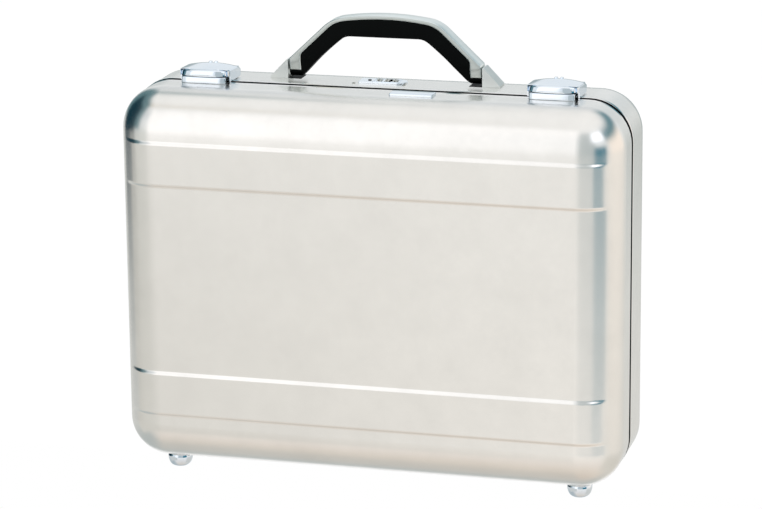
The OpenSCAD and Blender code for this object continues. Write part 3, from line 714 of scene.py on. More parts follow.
@dataclass
class PressedForm:
    """A box open at its mouth, with its front edges and corners rounded and bands raised on it.

    Attributes:
        half: Front or rear half.
        start: From the parting plane to the mouth.
        rise: How far the bands stand out.
        slope: Run of the step along each side of a band.
        bands: Lower edge and height of each band.
        fade: Angles round the side edges between which the bands die away.
        ease_from: Height from which the face eases over into the upper rounding.
        easing: Fall of the face per square millimetre above that height.
        x_cuts: Further grid lines along X.
        y_cuts: Further grid lines along Y, as distances from the parting plane.
        steps: Grid steps across each 45 degrees of rounding.
    """

    half: Half
    start: float
    rise: float = 1.3
    slope: float = 3.4
    bands: tuple[Point2, ...] = ((46.6, 42.5), (260.2, 42.5))
    fade: Point2 = (24.0, 52.0)
    ease_from: float = 298.0
    easing: float = 0.0026
    x_cuts: tuple[float, ...] = ()
    y_cuts: tuple[float, ...] = ()
    steps: int = 10

    def face_depth(self, x: Line, y: Line, z: float) -> float:
        """Depth of the face at a place, with the bands' softened steps and fading ends.

        Args:
            x: Line along X.
            y: Line along Y.
            z: Height.

        Returns:
            Distance from the parting plane to the face.
        """
        turn = math.degrees(math.atan2(abs(x.lean), max(abs(y.lean), 1e-6))) if x.lean else 0.0
        kept = smooth(self.fade[1], self.fade[0], turn)
        raised = max(min(smooth(low, low + self.slope, z), smooth(low + tall, low + tall - self.slope, z))
                     for low, tall in self.bands)
        eased = self.easing * max(0.0, z - self.ease_from) ** 2
        return self.half.depth + self.rise * raised * kept - eased

    def round_lines(self, low: float, high: float, flat: Sequence[float]) -> list[Line]:
        """Grid lines across one axis: rounding, flat part, rounding.

        Args:
            low: Lower end of the flat part.
            high: Upper end of the flat part.
            flat: Places in the flat part.

        Returns:
            The lines in order.
        """
        inner = sorted({round(v, 4) for v in flat if low <= v <= high} | {low, high})
        turns = leans(self.steps)
        return ([Line(low, -t) for t in turns[::-1]] + [Line(v) for v in inner]
                + [Line(high, t) for t in turns])

    def x_lines(self) -> list[Line]:
        """Grid lines along X."""
        end = CASE_W / 2 - EDGE_R
        flat = [-end + 0.6, end - 0.6, *self.x_cuts] + [-end + 2 * end * k / 24 for k in range(25)]
        return self.round_lines(-end, end, flat)

    def z_lines(self) -> list[Line]:
        """Grid lines along Z, close together on the bands' steps."""
        low, high = EDGE_R, CASE_H - EDGE_R
        flat = [low + 0.6, high - 0.6] + [low + (high - low) * k / 18 for k in range(19)]
        for edge, tall in self.bands if self.rise > 0 else ():
            for step in (edge, edge + tall - self.slope):
                flat = [v for v in flat if not step - 4 < v < step + self.slope + 4]
                flat += [step + self.slope * k / 10 for k in range(11)]
                flat += [step - 0.5, step + self.slope + 0.5]
        return self.round_lines(low, high, flat)

    def y_lines(self) -> list[Line]:
        """Grid lines along Y: the base is a share of the straight part."""
        run = self.half.depth - EDGE_R - self.start
        shares = sorted({0.0, 0.5, 1.0 - 0.6 / run, 1.0} | {(c - self.start) / run for c in self.y_cuts})
        return [Line(s) for s in shares] + [Line(1.0, t) for t in leans(self.steps)]

    def point(self, x: Line, y: Line, z: Line, off: float) -> Point3:
        """A point of the surface, off inside its outside.

        Args:
            x: Line along X.
            y: Line along Y.
            z: Line along Z.
            off: Distance inside the outer surface.

        Returns:
            The point in mm.
        """
        r = EDGE_R - off
        lean = Vector((x.lean, y.lean, z.lean)).normalized()
        straight_end = self.face_depth(x, y, z.base) - EDGE_R
        deep = self.start + (straight_end - self.start) * y.base + r * lean.y
        return (x.base + r * lean.x, self.half.value * deep, z.base + r * lean.z)

    def sheets(self) -> list[list[list[tuple[Line, Line, Line]]]]:
        """The grids of the front face and the four sides."""
        xs, ys, zs = self.x_lines(), self.y_lines(), self.z_lines()
        return [
            [[(x, ys[-1], z) for x in xs] for z in zs],
            [[(xs[0], y, z) for y in ys] for z in zs],
            [[(xs[-1], y, z) for y in ys] for z in zs],
            [[(x, y, zs[0]) for x in xs] for y in ys],
            [[(x, y, zs[-1]) for x in xs] for y in ys],
        ]

    def sheet_solid(self, outer: float, inner: float,
                    skip: Callable[[Point3], bool] = lambda middle: False) -> Solid:
        """A sheet between two offsets, open at the mouth and where skip says so.

        Args:
            outer: Offset of the outer surface.
            inner: Offset of the inner surface.
            skip: Says for the middle of a face whether it is left out.

        Returns:
            The closed sheet.
        """
        return joined(self.sheets(), lambda place, off: self.point(*place, off), outer, inner, skip)


@dataclass
class RoundedBlock:
    """A block with rounded edges, as a grid that can be warped into shape.

    Attributes:
        low: Lowest corner.
        high: Highest corner.
        r: Radius of its edges.
        cells: Number of grid cells across its flat part, along each axis.
        steps: Grid steps across each 45 degrees of rounding.
        hollow: Whether it is open below.
    """

    low: Point3
    high: Point3
    r: float
    cells: tuple[int, int, int] = (1, 1, 1)
    steps: int = 3
    hollow: bool = False

    def lines(self, axis: int) -> list[Line]:
        """Grid lines along one axis: rounding, flat part, rounding."""
        cut = self.hollow and axis == 2
        a, b, n = self.low[axis] + (0 if cut else self.r), self.high[axis] - self.r, self.cells[axis]
        turns = leans(self.steps)
        lower = [] if cut else [Line(a, -t) for t in turns[::-1]]
        return lower + [Line(a + (b - a) * k / n) for k in range(n + 1)] + [Line(b, t) for t in turns]

    def point(self, place: tuple[Line, Line, Line], off: float) -> Point3:
        """A point of the surface, off inside its outside."""
        lean = Vector([line.lean for line in place]).normalized()
        return tuple(line.base + (self.r - off) * lean[k] for k, line in enumerate(place))

    def sheets(self) -> list[list[list[tuple[Line, Line, Line]]]]:
        """The grids of its faces."""
        xs, ys, zs = (self.lines(k) for k in range(3))
        grids = [[[(x, y, zs[-1]) for x in xs] for y in ys]]
        if not self.hollow:
            grids.append([[(x, y, zs[0]) for x in xs] for y in ys])
        grids += [[[(x, y, z) for x in xs] for z in zs] for y in (ys[0], ys[-1])]
        grids += [[[(x, y, z) for y in ys] for z in zs] for x in (xs[0], xs[-1])]
        return grids

    def solid(self, warp: Callable[[Point3], Point3] = lambda p: p, wall: float = 0.0) -> Solid:
        """The block, or with a wall the cover that is open below.

        Args:
            warp: Moves each point to its final place.
            wall: Thickness of a hollow cover's wall.

        Returns:
            The closed solid.
        """
        return joined(self.sheets(), lambda place, off: warp(self.point(place, off)), 0.0,
                      wall if self.hollow else None)


def joined(grids: Sequence[Sequence[Sequence[tuple]]], point: Callable[[tuple, float], Point3], outer: float,
           inner: float | None, skip: Callable[[Point3], bool] = lambda middle: False) -> Solid:
    """Joins grids along their common edges into one solid.

    Args:
        grids: Grids of places.
        point: Gives a place's point at an offset.
        outer: Offset of the outer surface.
        inner: Offset of the inner surface, or None where the grids close a solid by themselves.
        skip: Says for the middle of a face whether it is left out.

    Returns:
        The closed solid.
    """
    index: dict[tuple, int] = {}
    places: list[tuple] = []
    quads: list[tuple[int, ...]] = []
    for grid in grids:
        ids = []
        for row in grid:
            ids.append([])
            for place in row:
                key = tuple(round(v, 4) for v in point(place, 0.0))
                if key not in index:
                    index[key] = len(places)
                    places.append(place)
                ids[-1].append(index[key])
        for a, b in zip(ids, ids[1:]):
            for i in range(len(a) - 1):
                quads.append((a[i], a[i + 1], b[i + 1], b[i]))
    out = [point(p, outer) for p in places]
    quads = [q for q in quads if not skip(tuple(sum(out[i][k] for i in q) / 4 for k in range(3)))]
    if inner is None:
        return Solid(out, quads)
    count = len(places)
    solid = Solid(out + [point(p, inner) for p in places], list(quads))
    solid.faces += [tuple(i + count for i in reversed(q)) for q in quads]
    edges: dict[frozenset, tuple[int, int, int]] = {}
    for q in quads:
        for a, b in zip(q, q[1:] + q[:1]):
            seen = edges.get(frozenset((a, b)), (a, b, 0))
            edges[frozenset((a, b))] = (seen[0], seen[1], seen[2] + 1)
    solid.faces += [(a, b, b + count, a + count) for a, b, n in edges.values() if n == 1]
    return solid


def ring_solid(section: Sequence[tuple[float, ...]], steps: int = 12) -> Solid:
    """Sweeps a closed section around the shells' outline.

    Args:
        section: Points as (distance inside the outline, y), or with a third value that lifts
            the point further out along the top of the case.
        steps: Steps around each corner.

    Returns:
        The ring.
    """
    solid = Solid(faces=strips(4 * (steps + 1), len(section)))
    for sx, sz, start in ((1, 1, 0), (-1, 1, 90), (-1, -1, 180), (1, -1, 270)):
        cx = sx * (CASE_W / 2 - EDGE_R)
        cz = CASE_H / 2 + sz * (CASE_H / 2 - EDGE_R)
        for nx, nz in arc(0.0, 0.0, 1.0, start, start + 90, steps):
            for off, y, *lift in section:
                r = EDGE_R - off + max(0.0, nz) ** 2 * sum(lift)
                solid.verts.append((cx + r * nx, y, cz + r * nz))
    return solid


def arc(cx: float, cy: float, r: float, start: float, end: float, steps: int) -> list[Point2]:
    """Points on an arc, from start to end in degrees."""
    return [(cx + r * math.cos(math.radians(start + (end - start) * k / steps)),
             cy + r * math.sin(math.radians(start + (end - start) * k / steps))) for k in range(steps + 1)]


@dataclass
class Shells:
    """Both pressed shells with their frames and the gasket.

    Attributes:
        front_bead: Section of the front bead as (inside the outline, from the parting plane), with
            the lift along the top where there is one.
        rear_bead: The same for the rear bead, which folds over the shell's mouth.
        lip: Height of the gasket's rear lip, and its lift along the top.
        gap: Half of the gap between the frames' inner parts.
        bulb: Half of the gasket's width between the beads.
        groove: Depth of the gasket's groove.
        rim_t: Thickness of a frame's wall.
        flange_l: How far the flanges reach into the shells.
        tongue_l: How far the rear frame's tongue reaches into the front half.
        flange_out: Outside of the flanges inside the outline.
        tongue_out: Outside of the tongue inside the outline.
        lock_cut: Opening of the lock in the top of the rear shell.
    """

    front_bead: tuple[tuple[float, ...], ...] = ((0.1, 5.5), (-0.15, 3.5, 0.35), (-0.1, 3.2, 0.2))
    rear_bead: tuple[tuple[float, ...], ...] = (
        (0.1, 9.2), (-0.36, 6.7, 0.5), (-0.38, 6.2, 0.52), (-0.36, 5.7, 0.5), (-0.15, 3.3, 0.35),
        (-0.1, 3.15, 0.3))
    lip: Point2 = (0.15, 0.35)
    gap: float = 2.0
    bulb: float = 3.1
    groove: float = 2.0
    rim_t: float = 1.5
    flange_l: float = 6.0
    tongue_l: float = 5.0
    flange_out: float = 1.65
    tongue_out: float = 3.65
    lock_cut: tuple[float, float, float, float] = (-21.85, 15.85, 22.3, 37.7)

    def shell(self, half: Half) -> None:
        """One pressed shell; the rear one has the lock's opening.

        Args:
            half: Front or rear half.
        """
        x0, x1, y0, y1 = self.lock_cut
        form = PressedForm(half, MOUTH)
        if half is Half.REAR:
            form.x_cuts, form.y_cuts = (x0, x1), (y0, y1)
        solid = form.sheet_solid(0.0, WALL, lambda p: half is Half.REAR and x0 < p[0] < x1
                                 and y0 < p[1] < y1 and p[2] > CASE_H - 1)
        name = half.word + "_shell"
        dress(solid.make(name + "_pressing", 40.0), Finish.SHELL, half.body, [name])

    def edge(self, bead: tuple[tuple[float, ...], ...], half: Half) -> list[tuple[float, ...]]:
        """The section of a frame from its flange, over the shell's mouth and along its bead, to the gap.

        Args:
            bead: The bead's points.
            half: Front or rear half.

        Returns:
            Points of the section.
        """
        points = [(self.flange_out, MOUTH + self.flange_l), (self.flange_out, MOUTH), (0.6, MOUTH),
                  (0.6, bead[0][1] - 0.4), *bead, (1.6, self.bulb), (1.6, self.gap)]
        return [(off, half.value * y, *lift) for off, y, *lift in points]

    def frames(self) -> None:
        """Both rim frames; the rear one has the tongue that the front half closes over."""
        t, end = self.rim_t, MOUTH + self.flange_l
        flange_in, tongue_in = self.flange_out + t, self.tongue_out + t
        front = self.edge(self.front_bead, Half.FRONT) + [(flange_in, -self.gap), (flange_in, -end)]
        rear = self.edge(self.rear_bead, Half.REAR)
        rear += [(self.tongue_out, self.gap), (self.tongue_out, -self.tongue_l), (tongue_in, -self.tongue_l),
                 (tongue_in, MOUTH + t), (flange_in, MOUTH + t), (flange_in, end)]
        dress(ring_solid(front).make("front_rim_bead"), Finish.FRAME, "lid", ["front_rim"])
        dress(ring_solid(rear).make("rear_rim_bead"), Finish.FRAME, "base", ["rear_rim"])

    def gasket(self) -> None:
        """The rubber profile between the beads: a groove with a higher lip at the back."""
        half, shoulder = self.bulb - 0.05, 1.55
        proud, lift = self.lip
        section = [(self.tongue_out, -1.7), (shoulder, -1.7), (shoulder, -half), (0.2, -half),
                   (0.0, 0.3 - half), (0.2, 0.6 - half), (self.groove, 0.9 - half), (self.groove, half - 0.9),
                   (0.25 - proud, half - 0.6, lift), (-proud, half - 0.3, lift), (0.25 - proud, half, lift),
                   (shoulder, half), (shoulder, 2.0), (self.tongue_out, 2.0)]
        dress(ring_solid(section).make("gasket_profile"), Finish.GASKET, "base", ["gasket"])

    def build(self) -> None:
        """Builds every piece of the shells."""
        self.shell(Half.REAR)
        self.shell(Half.FRONT)
        self.frames()
        self.gasket()


# ---- linings -----------------------------------------------------------------------------


@dataclass
class Interior:
    """Linings, document pocket and pen loops.

    Attributes:
        out: Outside of the linings inside the shells' outside.
        inner: Inside of the linings, counted the same way.
        start: Where each half's lining starts, from the parting plane.
        welt_r: Radius of the welts.
        pocket_x: Half of the pocket's width.
        pocket_z: Lower and upper end of the pocket.
        pocket_back: Back of the pocket, on the lining.
        pocket_face: Face of the pocket's panel.
        pocket_t: Thickness of the panel.
        belly: How far the panel bellies out.
        binding_h: Height of the binding along the pocket's mouth.
        fold: Depth of the folds in the gussets.
        gusset_t: Thickness of the gussets.
        stitch: Distance between stitches.
        stitches: Number of stitches.
        lock_box: What the lock's case takes out of the rear lining.
    """

    out: float = 3.4
    inner: float = 5.4
    start: dict[Half, float] = field(default_factory=lambda: {Half.FRONT: 8.0, Half.REAR: 6.25})
    welt_r: float = 1.2
    pocket_x: float = 186.0
    pocket_z: Point2 = (48.0, 258.0)
    pocket_back: float = -57.6
    pocket_face: float = -44.6
    pocket_t: float = 1.8
    belly: float = 1.3
    binding_h: float = 8.0
    fold: float = 5.5
    gusset_t: float = 0.9
    stitch: float = 4.2
    stitches: int = 84
    lock_box: tuple[Point3, Point3] = ((-21.9, 22.2, 300.0), (15.9, 37.8, 350.0))

    def tray(self, half: Half) -> None:
        """One half's padded lining with a welt around its edge."""
        form = PressedForm(half, self.start[half], rise=0.0, steps=6)
        obj = form.sheet_solid(self.out, self.inner).make(half.word + "_liner_cloth", 50.0)
        if half is Half.REAR:
            carve(obj, [RoundedBlock(*self.lock_box, 0.01, steps=1).solid()])
        dress(obj, Finish.LINING, half.body, [half.word + "_liner"])
        off, y = self.inner + 0.2, half.value * (self.start[half] + self.welt_r + 0.1)
        welt = ring_solid(arc(off, y, self.welt_r, 0, 330, 11)).make(half.word + "_lining_welt", 60.0)
        dress(welt, Finish.LEATHER, half.body)

    def panel(self) -> None:
        """The pocket's padded cloth panel, which bellies out a little between its seams."""
        x, face, (low, high) = self.pocket_x, self.pocket_face, self.pocket_z

        def bellied(p: Point3) -> Point3:
            """Moves a point of the panel out."""
            bow = (1 - (p[0] / x) ** 2) * math.sin(math.pi * (p[2] - low) / (high - low))
            return (p[0], p[1] + self.belly * bow, p[2])

        block = RoundedBlock((-x, face - self.pocket_t, low), (x, face, high), 0.8, (24, 1, 14))
        obj = block.solid(bellied).make("pocket_panel", 50.0)
        dress(obj, Finish.POCKET, "lid", ["document_pocket"])

    def binding(self) -> None:
        """The leather binding folded over the pocket's mouth."""
        x, face, high = self.pocket_x, self.pocket_face, self.pocket_z[1]
        tape = RoundedBlock((-x - 0.4, face - self.pocket_t - 0.7, high - self.binding_h),
                            (x + 0.4, face + 0.8, high + 0.8), 1.2, (24, 1, 2)).solid()
        dress(tape.make("pocket_binding", 50.0), Finish.LEATHER, "lid")

    def gusset(self, side: Side) -> None:
        """One folded gusset at an end of the pocket."""
        x, face, (low, high) = self.pocket_x - 0.2, self.pocket_face, self.pocket_z
        deep = self.pocket_x - self.fold
        folds = [(x, face - 1.0), (deep, face - 4.6), (x, face - 8.2), (deep + 1, self.pocket_back + 0.3)]
        section = folds + [(px - self.gusset_t, y) for px, y in reversed(folds)]
        rows = [low + 0.5 + k * (high - low - 9) / 12 for k in range(13)]
        n = len(section)
        last = (len(rows) - 1) * n
        solid = Solid([(side.value * px, y, z) for z in rows for px, y in section],
                      strips(len(rows), n, round_rows=False))
        solid.faces += [tuple(range(n)), tuple(range(last, last + n))]
        obj = solid.make("pocket_gusset_" + side.word, 40.0)
        dress(obj, Finish.POCKET, "lid")

    def floor(self) -> None:
        """The pocket's base."""
        x, low = self.pocket_x - 6, self.pocket_z[0]
        block = RoundedBlock((-x, self.pocket_back + 0.1, low + 0.1), (x, self.pocket_face - 1, low + 1.6),
                             0.6, (12, 1, 1))
        dress(block.solid().make("pocket_base", 50.0), Finish.POCKET, "lid")

    def seam(self) -> None:
        """A row of thread stitches through the binding."""
        seam = Solid()
        z, y = self.pocket_z[1] - self.binding_h + 1.6, self.pocket_face + 0.85
        for k in range(self.stitches):
            mid = (k - (self.stitches - 1) / 2) * self.stitch
            seam.add(RoundedBlock((mid - 1.5, y - 0.25, z - 0.3), (mid + 1.5, y + 0.35, z + 0.3), 0.28,
                                  steps=2).solid())
        dress(seam.make("pocket_stitching", 60.0), Finish.THREAD, "lid")

    def build(self) -> None:
        """Builds every soft piece."""
        for half in Half:
            self.tray(half)
        self.panel()
        self.binding()
        for side in Side:
            self.gusset(side)
        self.floor()
        self.seam()
        reworked("pen_loops", "pen_loop_straps", 0.35, Finish.LEATHER, "lid")


# ---- hardware ----------------------------------------------------------------------------


@dataclass
class Latch:
    """A lever latch: its hollow lever, the catch under its nose, its base and its pin.

    Attributes:
        side: Left or right.
        x: Middle of the latch from the case's middle.
        half: Half of the lever's width.
        nose_half: Half of the nose's and the catch's width.
        front: Face of the nose and the catch.
        taper_end: Where the lever has its full width, and the catch's back.
        back: The lever's rear end.
        height: Height of the lever's edges.
        rise: How much higher the dome is.
        dome: Fall of the dome to the sides, at the nose and what is added at the back.
        dome_end: Where the dome is complete.
        edge: Radius of the lever's edges.
        wall: The lever's wall.
        seat: Where the nose comes down onto the catch.
        nose: Where the nose's face begins.
        nose_lean: How far its face leans back over its height, and where the lean starts.
        nose_hollow: Depth of the hollow across its face.
        nose_turn: How far its corners turn back.
        nose_pinch: Height that its corners close towards, and by what share.
        slope: Where the top starts to slope down, and by what share it falls.
        rounding: Where the plan starts to round off, and by how much.
        skirt: Height of the lever's lower edge.
        catch_h: Height of the catch.
        gap: Gap between nose and catch.
        pin_y: The pin's place.
        pin_h: The pin's height.
        tail_r: Radius about the pin that the rear lower edge keeps to, so that it clears the shell.
        boss: Bore, radius and length of the bosses around the pin.
        lug: Place of the lugs on the top, and how far they stand over the lever's edges.
        claw: The claw that holds the catch, as two corners.
        notch: The claw's notch in the catch, as two corners.
    """

    side: Side
    x: float = 160.0
    half: float = 23.5
    nose_half: float = 20.5
    front: float = -12.0
    taper_end: float = -5.0
    back: float = 29.0
    height: float = 12.6
    rise: float = 1.1
    dome: Point2 = (0.5, 2.3)
    dome_end: float = 20.0
    edge: float = 1.35
    wall: float = 1.3
    seat: float = -4.2
    nose: float = -9.0
    nose_lean: Point2 = (1.5, -0.5)
    nose_hollow: float = 0.75
    nose_turn: float = 3.4
    nose_pinch: Point2 = (9.2, 0.3)
    slope: Point2 = (15.0, 0.42)
    rounding: Point2 = (8.0, 1.6)
    skirt: float = 1.0
    catch_h: float = 6.0
    gap: float = 0.45
    pin_y: float = 23.0
    pin_h: float = 6.5
    tail_r: float = 6.1
    boss: Point3 = (1.55, 3.9, 2.8)
    lug: Point3 = (2.6, 20.0, 1.7)
    claw: tuple[Point3, Point3] = ((-5.5, -9.2, 1.65), (5.5, -7.0, 11.4))
    notch: tuple[Point3, Point3] = ((-6.5, -9.8, 0.9), (6.5, -4.0, 8.0))

    def at(self, p: Point3) -> Point3:
        """A point counted from the latch's middle on top of the shell, in the case's own frame."""
        return (self.side.value * self.x + p[0], p[1], CASE_H + p[2])

    def lever_shape(self, p: Point3) -> Point3:
        """Warps a rounded box into the lever: narrow hollow nose, domed top, rounded back.

        Args:
            p: Point of the box, counted from the latch's middle.

        Returns:
            The point in the case's own frame.
        """
        x, y, h = p
        out = max(-1.0, min(1.0, x / self.half))
        shoulder = self.height - self.edge
        low = self.catch_h + self.gap if y < self.seat else self.skirt
        if h < shoulder:
            h = low + h * (shoulder - low) / shoulder
        back = smooth(self.front, self.dome_end, y)
        h += (self.rise * back - out * out * (self.dome[0] + self.dome[1] * back)) * smooth(low, shoulder, h)
        sloped = max(0.0, (y - self.slope[0]) / (self.back - self.slope[0]))
        h = self.skirt + (h - self.skirt) * (1 - self.slope[1] * sloped ** 2.2)
        rounded = max(0.0, (y - self.rounding[0]) / (self.back - self.rounding[0]))
        y -= self.rounding[1] * rounded * out ** 4
        if y < self.nose:
            up = (h - low) / (self.height - low)
            y += self.nose_lean[0] * up + self.nose_lean[1]
            y -= self.nose_hollow * (1 - out * out) * (1 - (2 * up - 1) ** 2)
            y += self.nose_turn * abs(out) ** 5
            h -= (h - self.nose_pinch[0]) * self.nose_pinch[1] * abs(out) ** 4
        reach = max(0.0, y - self.pin_y)
        if reach > 0.0:
            rear = self.pin_h - math.sqrt(max(0.0, self.tail_r ** 2 - reach ** 2))
            h += max(0.0, rear - self.skirt) * (1 - (h - self.skirt) / (self.height - self.skirt))
        if p[1] < self.taper_end:
            share = (self.taper_end - p[1]) / (self.taper_end - self.front)
            x *= 1 - (1 - self.nose_half / self.half) * min(1.0, share)
        return self.at((x, y, h))

    def lever(self) -> None:
        """The lever with its claw, its bosses and the two lugs on its top."""
        box = RoundedBlock((-self.half, self.front, 0.0), (self.half, self.back, self.height), self.edge,
                           (20, 30, 6), 4, hollow=True)
        solid = box.solid(self.lever_shape, self.wall)
        solid.add(RoundedBlock(*self.claw, 0.35).solid(self.at))
        bore, r, long = self.boss
        for s in (-1, 1):
            start = self.at((s * (self.half - self.wall - long), self.pin_y, self.pin_h))
            solid.add(lathe([(bore, 0), (r, 0), (r, s * long), (bore, s * long)], start, 0, 40, ring=True))
            x, y, h = s * self.lug[0], self.lug[1], self.height + self.lug[2]
            solid.add(RoundedBlock((x - 1.5, y - 1.5, h - 1.3), (x + 1.5, y + 1.5, h), 0.5).solid(self.at))
        word = self.side.word
        dress(solid.make("latch_cover_" + word, 38.0), Finish.PLATE, "latch_" + word, ["latch_lever_" + word])

    def catch_shape(self, p: Point3) -> Point3:
        """Makes the catch's front face convex and leans it back a little."""
        x, y, h = p
        if y < self.nose:
            out = x / self.nose_half
            y += 0.16 * h - 0.2 - 0.5 * (1 - out ** 2) * (1 - (h / 3 - 1) ** 2) + 1.1 * abs(out) ** 9
        return self.at((x, y, h))

    def catch(self) -> None:
        """The catch block with the notch for the claw."""
        box = RoundedBlock((-self.nose_half, self.front, 0.0), (self.nose_half, self.taper_end, self.catch_h),
                           0.9, (16, 3, 4), 4)
        obj = box.solid(self.catch_shape).make("catch_block_" + self.side.word, 38.0)
        carve(obj, [RoundedBlock(*map(self.at, self.notch), 0.01, steps=1).solid()])
        dress(obj, Finish.PLATE, "lid", ["catch_" + self.side.word])

    def build(self) -> None:
        """Builds every piece of the latch."""
        self.lever()
        self.catch()
        word = self.side.word
        reworked("latch_base_" + word, "latch_bracket_" + word, 0.3, Finish.PLATE, "base")
        reworked("latch_pin_" + word, "latch_axle_" + word, 0.25, Finish.STEEL, "base")


@dataclass
class Lock:
    """The lock: its plate with a bezel, three numbered dials and the reset button.

    Attributes:
        y: Middle of the dials.
        plate_h: Height of the visible plate.
        thinner: Share that is left of the plate's height above the shell.
        dial_x: Middle of each dial.
        dial_r: Radius of the dials.
        axis_h: Height of their axle over the shell.
        digit_size: Height of the digits.
        digit_rise: How far the digits stand out.
        bezel: The bezel's left, right, front and rear.
        bezel_t: Width of its bars.
        screws: Places of the two screws.
    """

    y: float = 30.0
    plate_h: float = 1.3
    thinner: float = 0.6
    dial_x: tuple[float, ...] = (-6.8, 0.6, 8.0)
    dial_r: float = 6.2
    axis_h: float = -3.4
    digit_size: float = 3.3
    digit_rise: float = 0.07
    bezel: tuple[float, float, float, float] = (-11.6, 12.8, 23.0, 37.0)
    bezel_t: float = 0.9
    screws: tuple[Point2, ...] = ((-28.2, 20.2), (18.2, 20.2))

    def plate(self) -> None:
        """The plate, thinned above the shell."""
        face = reworked("lock_plate", "lock_face", 0.4, Finish.PLATE, "base")
        floor = (CASE_H + FOOT_H) * MM
        for v in face.data.vertices:
            up = v.co.z - floor
            v.co.z = floor + max(0.0, up) * self.thinner + min(0.0, up)

    def surround(self) -> None:
        """The raised bezel around the dials."""
        x0, x1, y0, y1 = self.bezel
        z, t = CASE_H + self.plate_h, self.bezel_t
        rim = Solid()
        for low, high in (((x0, y0), (x1, y0 + t)), ((x0, y1 - t), (x1, y1)),
                          ((x0, y0), (x0 + t, y1)), ((x1 - t, y0), (x1, y1))):
            rim.add(RoundedBlock((*low, z - 0.2), (*high, z + 0.45), 0.3).solid())
        dress(rim.make("dial_bezel", 40.0), Finish.PLATE, "base")

    def screw_heads(self) -> None:
        """The domed heads of the plate's screws."""
        dome = [(0, 0.7), (1.0, 0.62), (1.5, 0.25), (1.5, -0.2), (0, -0.2)]
        heads = Solid()
        for x, y in self.screws:
            heads.add(lathe(dome, (x, y, CASE_H), 2, 24))
        dress(heads.make("lock_screws", 40.0), Finish.STEEL, "base")

    def glyph(self, number: int) -> bpy.types.Mesh:
        """One digit, flat and in mm.

        Args:
            number: The digit.

        Returns:
            Its mesh.
        """
        curve = bpy.data.curves.new(f"digit_{number}", "FONT")
        curve.body = str(number)
        curve.size = self.digit_size
        curve.extrude = self.digit_rise
        curve.align_x, curve.align_y = "CENTER", "CENTER"
        text = bpy.data.objects.new(curve.name, curve)
        bpy.context.scene.collection.objects.link(text)
        bpy.context.view_layer.update()
        mesh = bpy.data.meshes.new_from_object(text.evaluated_get(bpy.context.evaluated_depsgraph_get()))
        bpy.data.objects.remove(text)
        bpy.data.curves.remove(curve)
        return mesh

    def digits(self, name: str, x: float) -> bpy.types.Object:
        """Ten raised digits around one dial.

        Args:
            name: Name of the piece.
            x: Middle of the dial.

        Returns:
            The piece.
        """
        bm = bmesh.new()
        for number in range(10):
            mesh = self.glyph(number)
            glyph = bmesh.new()
            glyph.from_mesh(mesh)
            bmesh.ops.remove_doubles(glyph, verts=glyph.verts, dist=0.001)
            for k in range(-2, 3):
                bmesh.ops.bisect_plane(glyph, geom=glyph.verts[:] + glyph.edges[:] + glyph.faces[:],
                                       plane_co=(0, 0.45 * k, 0), plane_no=(0, 1, 0))
            for v in glyph.verts:
                turn = math.radians(36 * number) + v.co.y / self.dial_r
                r = self.dial_r + v.co.z
                v.co = to_frame((x + v.co.x, self.y + r * math.sin(turn),
                                 CASE_H + self.axis_h + r * math.cos(turn)))
            glyph.to_mesh(mesh)
            glyph.free()
            bm.from_mesh(mesh)
            bpy.data.meshes.remove(mesh)
        return from_bmesh(name, bm)

    def build(self) -> None:
        """Builds every piece of the lock."""
        self.plate()
        self.surround()
        self.screw_heads()
        for number, x in enumerate(self.dial_x, 1):
            node = f"dial_{number}"
            reworked(node, node + "_wheel", 0.15, Finish.DIAL, node)
            dress(self.digits(node + "_digits", x), Finish.INK, node)
        reworked("reset_button", "reset_stud", 0.25, Finish.BUTTON, "reset_button")
        reworked("lock_case", "lock_box", 0.4, Finish.STEEL, "base")
        keep("dial_axle", Finish.STEEL)
        keep("button_spring", Finish.STEEL)


